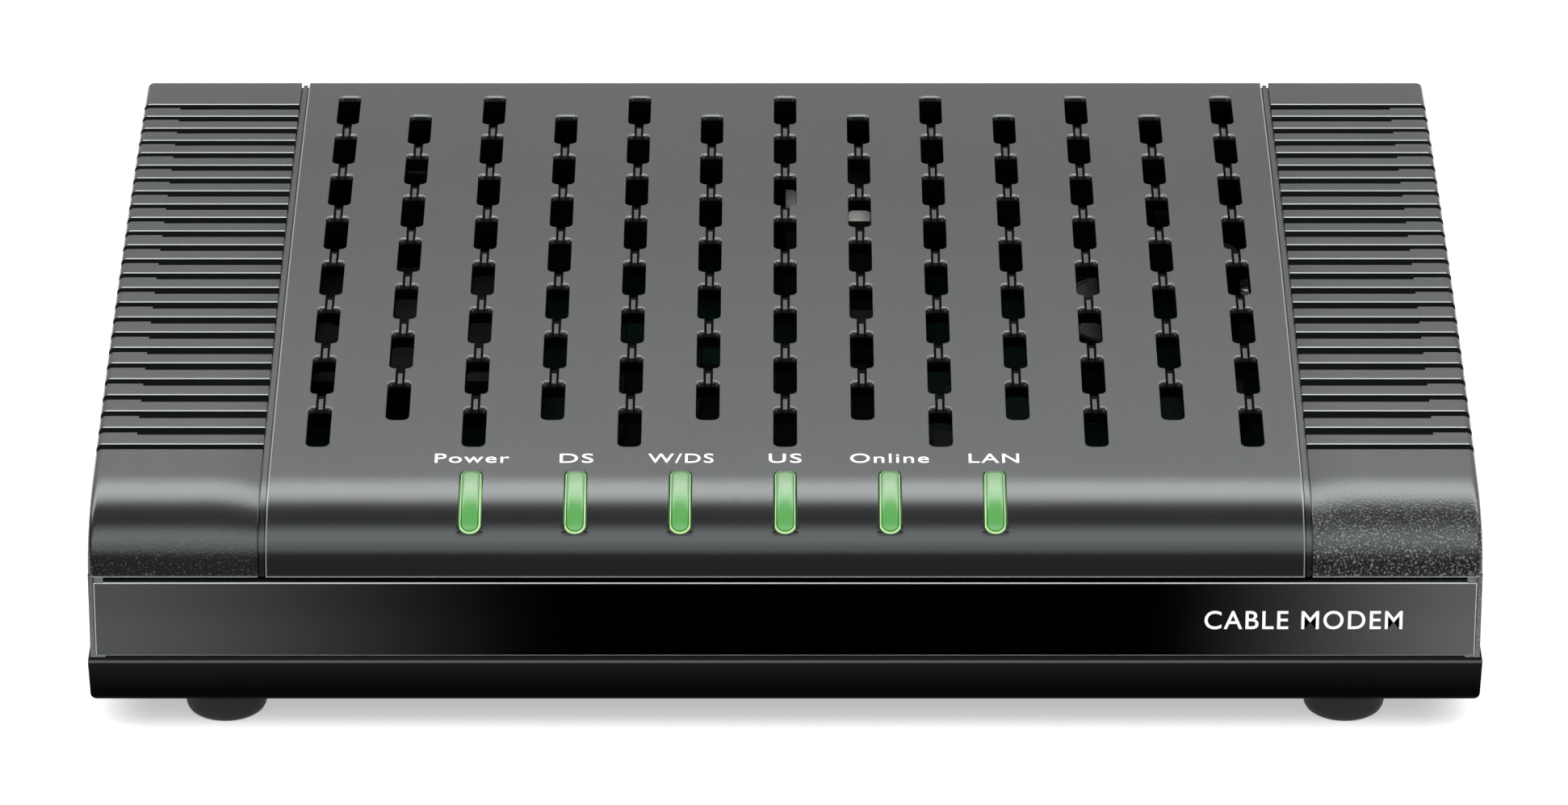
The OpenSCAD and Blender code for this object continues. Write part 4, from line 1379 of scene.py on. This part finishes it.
class MODEM_OT_tray(bpy.types.Operator):
    """Base tray with crisp, slightly rounded edges."""

    bl_idname = "modem.tray"
    bl_label = "Base tray"

    def execute(self, context):
        from_node("base_tray", "tray_plastic", size("tray_bevel"), suffix="_moulding", angles=(30, 30))
        return {"FINISHED"}


class MODEM_OT_feet(bpy.types.Operator):
    """Rubber feet: one lathed shape with a soft lower edge, laid out by Geometry Nodes."""

    bl_idname = "modem.feet"
    bl_label = "Feet"

    def execute(self, context):
        low, high = box_mm("foot_front_left")
        radius, top = (high[0] - low[0]) / 2, high[2]
        profile = [(0, 0.35), (2.6, 0.35), (3.0, 0.02), (3.3, 0), (radius - 0.9, 0), (radius - 0.62, 0.06),
                   (radius - 0.36, 0.26), (radius - 0.14, 0.65), (radius - 0.03, 1.15), (radius, 1.6),
                   (radius, top - 0.8), (radius - 0.05, top), (0, top)]
        front = (low[1] + high[1]) / 2
        rear_low, rear_high = box_mm("foot_rear_left")
        rear = (rear_low[1] + rear_high[1]) / 2
        feet = laid_out("rubber_feet", Skin().lathe(profile, (0, 0, 0), steps=64).mesh("foot"), "foot_rubber", {
            "Half span": -(low[0] + high[0]) / 2 * MM, "Front": front * MM, "Run": (rear - front) * MM,
        }, lambda index, given: (4, *two_by_two(index, given), 0.0, None))
        smooth(feet)
        placed(feet, "case", [
            "foot_%s_%s" % (end, side) for end in ("front", "rear") for side in ("left", "right")])
        return {"FINISHED"}


def screw_mesh(name, length):
    """Pan-head screw, head down: a domed head with a cross recess and a threaded shank."""
    steps = 32
    profile = [(0, 0.9), (0.30, 0.9), (0.30, 0.0), (1.5, 0.0), (1.95, 0.12), (2.35, 0.45), (2.6, 1.0), (2.7, 1.6),
               (2.62, 2.0), (1.35, 2.0)]
    for turn in range(int(length)):
        z = 2.0 + turn
        profile += [(1.05, z + 0.25), (1.35, z + 0.5), (1.05, z + 0.75)]
    profile += [(1.0, 2.0 + length), (0.45, 2.8 + length), (0, 2.8 + length)]
    skin = Skin().lathe(profile, (0, 0, 0), steps=steps)
    for ring, depth in enumerate((0.9, 0.9, 0.55)):
        for k in range(1 + ring * steps, 1 + (ring + 1) * steps, 8):
            skin.points[k] = (*skin.points[k][:2], depth)
    return skin.mesh(name)


class MODEM_OT_fasteners(bpy.types.Operator):
    """Four case screws, heads down in their recesses, and four board screws, heads up."""

    bl_idname = "modem.fasteners"
    bl_label = "Screws"

    def execute(self, context):
        radius = 2.7
        for name, node, upside, length in (
                ("case_screw_set", "case_screws", False, 8.0), ("board_screw_set", "board_screws", True, 3.6)):
            low, high = box_mm(node)
            screws = laid_out(name, screw_mesh(name + "_shape", length), "screw_steel", {
                "Half span": (high[0] - radius) * MM, "Front": (low[1] + radius) * MM,
                "Run": (high[1] - low[1] - 2 * radius) * MM, "Height": (high[2] if upside else low[2]) * MM,
                "Tip": math.pi if upside else 0.0,
            }, lambda index, given: (
                4, *two_by_two(index, given), given["Height"], (given["Tip"], 0.0, index * 0.7)))
            smooth(screws, 30)
            placed(screws, "case", [node])
        return {"FINISHED"}


class MODEM_OT_rear_panel(bpy.types.Operator):
    """Rear panel with softened cut-outs."""

    bl_idname = "modem.rear_panel"
    bl_label = "Rear panel"

    def execute(self, context):
        from_node("rear_panel", "tray_plastic", 0.15, suffix="_moulding", angles=(30, 30))
        return {"FINISHED"}


class MODEM_OT_label(bpy.types.Operator):
    """Blank rating label with rounded corners."""

    bl_idname = "modem.label"
    bl_label = "Label"

    def execute(self, context):
        low, high = box_mm("rating_label")
        loop = rounded_loop((high[0] - low[0]) / 2, (high[1] - low[1]) / 2, 2.0, 2.0, 0.0, 6)
        centre = (low + high) / 2
        rows = [[(centre[0] + x, centre[1] + y, z) for x, y in loop] for z in (low[2], high[2])]
        label = new_object("blank_label", Skin().tube(rows, True).mesh("blank_label"), finish("label_film"))
        smooth(label)
        placed(label, "case", ["rating_label"])
        return {"FINISHED"}


# ---------------------------------------------------------------- connectors

THREAD_R = 4.7625
THREAD_DEPTH = 0.42


class MODEM_OT_coax(bpy.types.Operator):
    """Coax connector: block, helical thread, chamfered nut, washer, insulator and split contact."""

    bl_idname = "modem.coax"
    bl_label = "Coax connector"

    def execute(self, context):
        block_low, block_high = box_mm("coax_connector")
        nut_low, nut_high = box_mm("coax_nut")
        washer_low, washer_high = box_mm("coax_washer")
        x, z = (nut_low[0] + nut_high[0]) / 2, (nut_low[2] + nut_high[2]) / 2
        end = block_high[1]
        panel_back = BACK_Y - 2.6
        skin = Skin().block(block_low, (block_high[0], panel_back - 1.2, block_high[2]))
        block = new_object("coax_block", skin.mesh("coax_block"), finish("dull_tin"))
        softened(block, 0.4, 3)
        smooth(block)
        placed(block, "case", ["coax_connector"])

        def ring(y, radii, turn=0.0):
            step = 2 * math.pi / len(radii)
            angles = [i * step + turn for i in range(len(radii))]
            return [(x + r * math.cos(a), y, z + r * math.sin(a)) for r, a in zip(radii, angles)]

        def turned(profile, steps, turn=0.0):
            return [ring(y, [radius] * steps, turn) for radius, y in profile]

        pitch = size("thread_pitch")
        start, stop = nut_high[1] - 0.05, end - 0.65
        steps, per_turn = 56, 6
        rows = []
        for y in np.linspace(start, stop, int((stop - start) / pitch * per_turn) + 1):
            depth = THREAD_DEPTH * min(1.0, (y - start) / 0.4, (stop - y) / 0.5)
            phases = [(y / pitch - i / steps) % 1.0 for i in range(steps)]
            rows.append(ring(y, [THREAD_R - depth * abs(2 * phase - 1) for phase in phases]))
        barrel = Skin().tube(rows)
        barrel.tube(turned([(THREAD_R, stop), (4.65, stop + 0.1), (4.2, end - 0.05), (4.05, end), (3.35, end),
                            (3.2, end - 0.15), (3.2, end - 11), (0.001, end - 11)], steps))
        barrel.tube(turned([(THREAD_R, start), (4.26, start), (4.26, panel_back - 0.2), (6.3, panel_back - 0.2),
                            (6.4, panel_back - 0.3), (6.4, panel_back - 1.3), (0.001, panel_back - 1.3)], steps))
        steps, across, turn = 72, 6.9, math.pi / 6
        flats = [across * math.cos(turn) / math.cos((2 * math.pi * i / steps + turn) % (2 * turn) - turn)
                 for i in range(steps)]
        rows = [ring(y, [min(flat, across - chamfer) for flat in flats], turn) for y, chamfer in (
            (nut_low[1], 0.5), (nut_low[1] + 0.28, 0.0), (nut_high[1] - 0.28, 0.0), (nut_high[1], 0.5))]
        rows += turned([(5.25, nut_high[1]), (4.83, nut_high[1] - 0.3), (4.83, nut_low[1] + 0.3),
                        (5.25, nut_low[1])], steps, turn)
        nut = Skin().tube([*rows, rows[0]])
        teeth = 60
        rim = (washer_high[0] - washer_low[0]) / 2
        rows = [ring(y, [rim - inset - 0.35 * (i % 4 == 0) for i in range(teeth)]) for y, inset in (
            (washer_low[1], 0.12), (washer_low[1] + 0.1, 0.0), (washer_high[1] - 0.1, 0.0), (washer_high[1], 0.12))]
        rows += turned([(4.86, washer_high[1]), (4.86, washer_low[1])], teeth)
        washer = Skin().tube([*rows, rows[0]])
        for name, nodes, skin, weld, angle in (
                ("coax_barrel", [], barrel, 0.0015, 30), ("coax_nut_hex", ["coax_nut"], nut, 0.001, 28),
                ("coax_lock_washer", ["coax_washer"], washer, 0.001, 30)):
            piece = new_object(name, skin.mesh(name, weld), finish("plated_nickel"))
            smooth(piece, angle)
            placed(piece, "case", nodes)
        from_node("coax_insulator", "white_insulator", 0.12)
        from_node("coax_contact", "contact_brass", 0.06)
        return {"FINISHED"}


class MODEM_OT_network_jack(bpy.types.Operator):
    """Network jack: housing, folded tin shield and eight spring wires laid out by Geometry Nodes."""

    bl_idname = "modem.network_jack"
    bl_label = "Network jack"

    def execute(self, context):
        from_node("lan_jack_housing", "jack_plastic", 0.15)
        from_node("lan_jack_shield", "shield_tin", 0.07)
        low, high = box_mm("lan_jack_shield")
        back = BACK_Y - 2.95
        collar = Skin()
        for sx in (-1, 1):
            near, far = sorted((high[0] if sx > 0 else low[0], (high[0] if sx > 0 else low[0]) + sx * 1.2))
            collar.block((near, back, low[2]), (far, back + 0.2, high[2] + 1.2))
        collar.block((low[0], back, high[2]), (high[0], back + 0.2, high[2] + 1.2))
        spring = new_object("network_jack_collar", collar.mesh("network_jack_collar", 0.0001), finish("dull_tin"))
        placed(spring, "case")
        low, high = box_mm("lan_jack_contacts")
        wire = 0.35
        back, front = low[1], high[1]
        top, tip = high[2], low[2]
        path = [(back, top - wire / 2), (back + 4.8, top - wire / 2), (back + 5.3, top - wire / 2 - 0.15),
                (front - 0.5, tip + wire / 2 + 0.1), (front - 0.15, tip + wire / 2)]
        rows = [[(a, y, z + b) for a, b in circle(wire / 2, 8, math.pi / 8)] for y, z in path]
        wires = laid_out("network_jack_wires", Skin().tube(rows, True).mesh("wire"), "contact_brass", {
            "Count": 8, "Start": (low[0] + wire / 2) * MM, "Pitch": (high[0] - low[0] - wire) / 7 * MM,
        }, lambda index, given: (given["Count"], given["Start"] + index * given["Pitch"], 0.0, 0.0, None))
        smooth(wires)
        placed(wires, "case", ["lan_jack_contacts"])
        return {"FINISHED"}


class MODEM_OT_power_jack(bpy.types.Operator):
    """Power jack: housing, centre pin and spring leaf."""

    bl_idname = "modem.power_jack"
    bl_label = "Power jack"

    def execute(self, context):
        from_node("power_jack_housing", "jack_plastic", 0.15)
        from_node("power_jack_pin", "plated_nickel", 0.08)
        from_node("power_jack_spring", "contact_brass", 0.04)
        return {"FINISHED"}


class MODEM_OT_reset_switch(bpy.types.Operator):
    """Reset switch and its plunger, the one moving piece."""

    bl_idname = "modem.reset_switch"
    bl_label = "Reset switch"

    def execute(self, context):
        from_node("reset_switch_body", "jack_plastic", 0.12)
        from_node("reset_switch_plate", "shield_tin", 0.05)
        low, high = box_mm("reset_plunger")
        x, z = (low[0] + high[0]) / 2, (low[2] + high[2]) / 2
        length = high[1] - low[1]
        profile = [(0, 0.0), (1.6, 0.0), (1.8, 0.15), (1.85, 0.3), (1.85, 0.95), (1.75, 1.1), (1.6, 1.1),
                   (1.6, length - 0.35), (1.5, length - 0.1), (1.3, length), (0.6, length), (0.35, length - 0.12),
                   (0, length - 0.15)]
        skin = Skin().lathe(profile, (0, 0, 0))
        skin.points = [(px + x, low[1] + pz, z - py) for px, py, pz in skin.points]
        plunger = new_object("reset_plunger_turned", skin.mesh("reset_plunger_turned"), finish("jack_plastic"))
        smooth(plunger)
        placed(plunger, "reset_button", ["reset_plunger"])
        return {"FINISHED"}


# ---------------------------------------------------------------- board and chips

class MODEM_OT_board(bpy.types.Operator):
    """Circuit board and the emitters under the light pipe."""

    bl_idname = "modem.board"
    bl_label = "Circuit board"

    def execute(self, context):
        from_node("main_board", "board_laminate", 0.1)
        low, high = box_mm("led_emitters")
        shape = Skin().block((-0.8, -0.8, low[2]), (0.8, 0.8, low[2] + 0.45))
        shape.block((-0.62, -0.62, low[2] + 0.45), (0.62, 0.62, high[2]))
        emitters = laid_out("indicator_emitters", shape.mesh("emitter"), "led_resin", {
            "Count": LED_COUNT, "Pitch": LED_PITCH * MM, "Y": (low[1] + high[1]) / 2 * MM}, under_windows)
        softened(emitters, 0.1)
        smooth(emitters)
        placed(emitters, "case", ["led_emitters"])
        return {"FINISHED"}


def lead_rows(name, node, count, pitch, lead_w, reach, sides="Y"):
    """Gull-wing leads along two sides of a chip, laid out by Geometry Nodes."""
    low, high = box_mm(node)
    centre = (low + high) / 2
    base = low[2]
    out = (high[1] - low[1]) / 2 if sides == "Y" else (high[0] - low[0]) / 2
    rise = min(0.55 * (high[2] - low[2]), 0.9)
    t = 0.13
    path = [(out - 0.1, base + rise), (out + 0.25 * reach, base + rise), (out + 0.5 * reach, base + t),
            (out + reach, base + t)]
    half = lead_w / 2
    rows = [[(-half, y, z), (half, y, z), (half, y, z - t), (-half, y, z - t)] for y, z in path]

    def place(index, given):
        side = (index / given["Count"]).floor()
        along = ((index % given["Count"]) - (given["Count"] - 1.0) * 0.5) * given["Pitch"]
        if sides == "Y":
            return given["Count"] * 2.0, along + given["X"], given["Y"], 0.0, (0.0, 0.0, side * math.pi)
        return given["Count"] * 2.0, given["X"], along + given["Y"], 0.0, (0.0, 0.0, side * math.pi + math.pi / 2)

    leads = laid_out(name, Skin().tube(rows, True).mesh(name + "_lead"), "dull_tin", {
        "Count": count, "Pitch": pitch * MM, "X": centre[0] * MM, "Y": centre[1] * MM}, place)
    smooth(leads, 30)
    placed(leads, "case")


class MODEM_OT_chips(bpy.types.Operator):
    """Processor, memory, flash, transformer, tuner chip and crystal, with their leads."""

    bl_idname = "modem.chips"
    bl_label = "Chips"

    def execute(self, context):
        for node, bevel in (("modem_processor", 0.25), ("memory_chip", 0.12), ("flash_chip", 0.15),
                            ("lan_transformer", 0.25), ("tuner_chip", 0.08)):
            from_node(node, "chip_epoxy", bevel)
        from_node("crystal_can", "dull_tin", 0.35, segments=3)
        lead_rows("memory_leads", "memory_chip", 16, 0.65, 0.3, 0.8, "X")
        lead_rows("flash_leads", "flash_chip", 4, 1.27, 0.42, 1.0)
        lead_rows("transformer_leads", "lan_transformer", 8, 1.27, 0.45, 1.0)
        from_node("thermal_pad", "pad_silicone", 0.1)
        from_node("heat_sink", "heat_sink_black", 0.15)
        return {"FINISHED"}


class MODEM_OT_tuner(bpy.types.Operator):
    """Tuner shield: folded frame and lid."""

    bl_idname = "modem.tuner"
    bl_label = "Tuner shield"

    def execute(self, context):
        from_node("tuner_shield_frame", "dull_tin", 0.06)
        from_node("tuner_shield_lid", "dull_tin", 0.08)
        return {"FINISHED"}


class MODEM_OT_power_parts(bpy.types.Operator):
    """Inductors and electrolytic capacitors."""

    bl_idname = "modem.power_parts"
    bl_label = "Power parts"

    def execute(self, context):
        from_node("power_inductors", "chip_epoxy", 0.5, segments=3)
        low, high = box_mm("bulk_capacitors")
        height = high[2]
        base = low[2]
        profile = [(0, base), (3.9, base), (4.0, base + 0.15), (4.0, base + 1.0),
                   (3.72, base + 1.35), (3.72, base + 1.6),
                   (4.0, base + 1.95), (4.0, height - 0.5), (3.9, height - 0.2), (3.6, height), (3.3, height),
                   (3.2, height - 0.12), (0, height - 0.12)]
        skin = Skin()
        for px, u in ((40, 66), (40, 77), (54, 88)):
            skin.lathe(profile, (px, FRONT_Y + u, 0), steps=40)
        cans = new_object("capacitor_cans", skin.mesh("capacitor_cans"), finish("capacitor_sleeve"))
        smooth(cans, 30)
        placed(cans, "case", ["bulk_capacitors"])
        return {"FINISHED"}


# ---------------------------------------------------------------- stage

def softbox(name, centre, target, width, height, radiance):
    """Large soft light that faces the target; sizes in metres."""
    data = bpy.data.lights.new(name, "AREA")
    data.shape = "RECTANGLE"
    data.size = width
    data.size_y = height
    data.energy = radiance * math.pi * width * height
    thing = bpy.data.objects.new(name, data)
    thing.location = centre
    thing.rotation_euler = (Vector(target) - Vector(centre)).to_track_quat("-Z", "Y").to_euler()
    thing.visible_camera = False
    bpy.context.scene.collection.objects.link(thing)


def arc_place(elevation, distance):
    """A place over the object: elevation from the front horizon, over the top, to the back at 180."""
    a = math.radians(elevation)
    return Vector((0.0, -math.cos(a) * distance, 0.02 + math.sin(a) * distance))


def sheet(name, corners):
    """A flat four-cornered piece of the stage."""
    mesh = bpy.data.meshes.new(name)
    mesh.from_pydata(corners, [], [(0, 1, 2, 3)])
    return new_object(name, mesh, finish("stage_" + name))


class MODEM_OT_stage(bpy.types.Operator):
    """Pale floor, soft lights in front of and behind the object, and the camera."""

    bl_idname = "modem.stage"
    bl_label = "Stage"

    def execute(self, context):
        scene = bpy.context.scene
        scene.view_settings.view_transform = "Standard"
        scene.view_settings.look = "None"
        reach = 12.0
        sheet("floor", [(-reach, -reach, 0), (reach, -reach, 0), (reach, reach, 0), (-reach, reach, 0)])
        world = bpy.data.worlds.new("studio")
        world.use_nodes = True
        graph = Graph(world.node_tree)
        sky = graph.put("ShaderNodeBackground", None, {0: (1.0, 1.0, 1.0), 1: 0.11})
        graph.put("ShaderNodeOutputWorld", None, {0: graph.out(sky)})
        scene.world = world
        target = (0.0, 0.0, 0.02)
        for name, low, high, distance, width, radiance in (
                ("back_card_low", 150, 172, 1.5, 4.0, 0.85),
                ("back_card_mid", 143.5, 149.5, 1.5, 4.0, 1.5),
                ("back_card_high", 137, 143, 1.5, 4.0, 2.1),
                ("back_strip", 114, 132.5, 1.3, 3.4, 7.6),
                ("front_card_high", 75, 81, 1.3, 3.4, 1.5),
                ("front_softbox", 47, 74, 1.3, 3.4, 3.1),
                ("front_card", 30, 46, 1.3, 3.4, 1.9)):
            height = 2 * distance * math.tan(math.radians(high - low) / 2)
            softbox(name, arc_place((low + high) / 2, distance), target, width, height, radiance)
        y = FRONT_Y * MM - 0.03
        flag = sheet("flag", [(-0.6, y, 0.0), (0.6, y, 0.0), (0.6, y, 0.042), (-0.6, y, 0.042)])
        flag.visible_camera = flag.visible_diffuse = flag.visible_shadow = False
        data = bpy.data.cameras.new("camera")
        data.sensor_width = 36.0
        data.lens = 203.9
        data.clip_start = 0.05
        data.clip_end = 50.0
        camera = bpy.data.objects.new("camera", data)
        camera.location = (-0.00014, (FRONT_Y - 938.9) * MM, (LIP_Z + 472.91) * MM)
        camera.rotation_euler = (math.radians(64.4), 0.0, 0.0)
        scene.collection.objects.link(camera)
        scene.camera = camera
        return {"FINISHED"}


# ---------------------------------------------------------------- registration

OPERATORS = [
    MODEM_OT_cover,
    MODEM_OT_windows,
    MODEM_OT_legends,
    MODEM_OT_fascia,
    MODEM_OT_tray,
    MODEM_OT_feet,
    MODEM_OT_fasteners,
    MODEM_OT_rear_panel,
    MODEM_OT_label,
    MODEM_OT_coax,
    MODEM_OT_network_jack,
    MODEM_OT_power_jack,
    MODEM_OT_reset_switch,
    MODEM_OT_board,
    MODEM_OT_chips,
    MODEM_OT_tuner,
    MODEM_OT_power_parts,
    MODEM_OT_stage,
]


class MODEM_PT_panel(bpy.types.Panel):
    """Sidebar panel that lists the modem's operators and settings."""

    bl_label = "Cable modem"
    bl_idname = "MODEM_PT_panel"
    bl_space_type = "VIEW_3D"
    bl_region_type = "UI"
    bl_category = "Modem"

    def draw(self, context):
        for group in (context.scene.modem_sizes, context.scene.modem_finishes):
            for key in group.__annotations__:
                self.layout.prop(group, key)
        for one in OPERATORS:
            self.layout.operator(one.bl_idname)


CLASSES = [ModemSizes, ModemFinishes, *OPERATORS, MODEM_PT_panel]


def register():
    """Registers the classes and their settings."""
    for one in CLASSES:
        bpy.utils.register_class(one)
    bpy.types.Scene.modem_sizes = bpy.props.PointerProperty(type=ModemSizes)
    bpy.types.Scene.modem_finishes = bpy.props.PointerProperty(type=ModemFinishes)


def unregister():
    """Removes the classes and their settings."""
    del bpy.types.Scene.modem_finishes
    del bpy.types.Scene.modem_sizes
    for one in reversed(CLASSES):
        bpy.utils.unregister_class(one)


def main():
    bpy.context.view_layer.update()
    register()
    for one in OPERATORS:
        getattr(bpy.ops.modem, one.bl_idname.split(".")[1])()


if __name__ == "__main__":
    main()
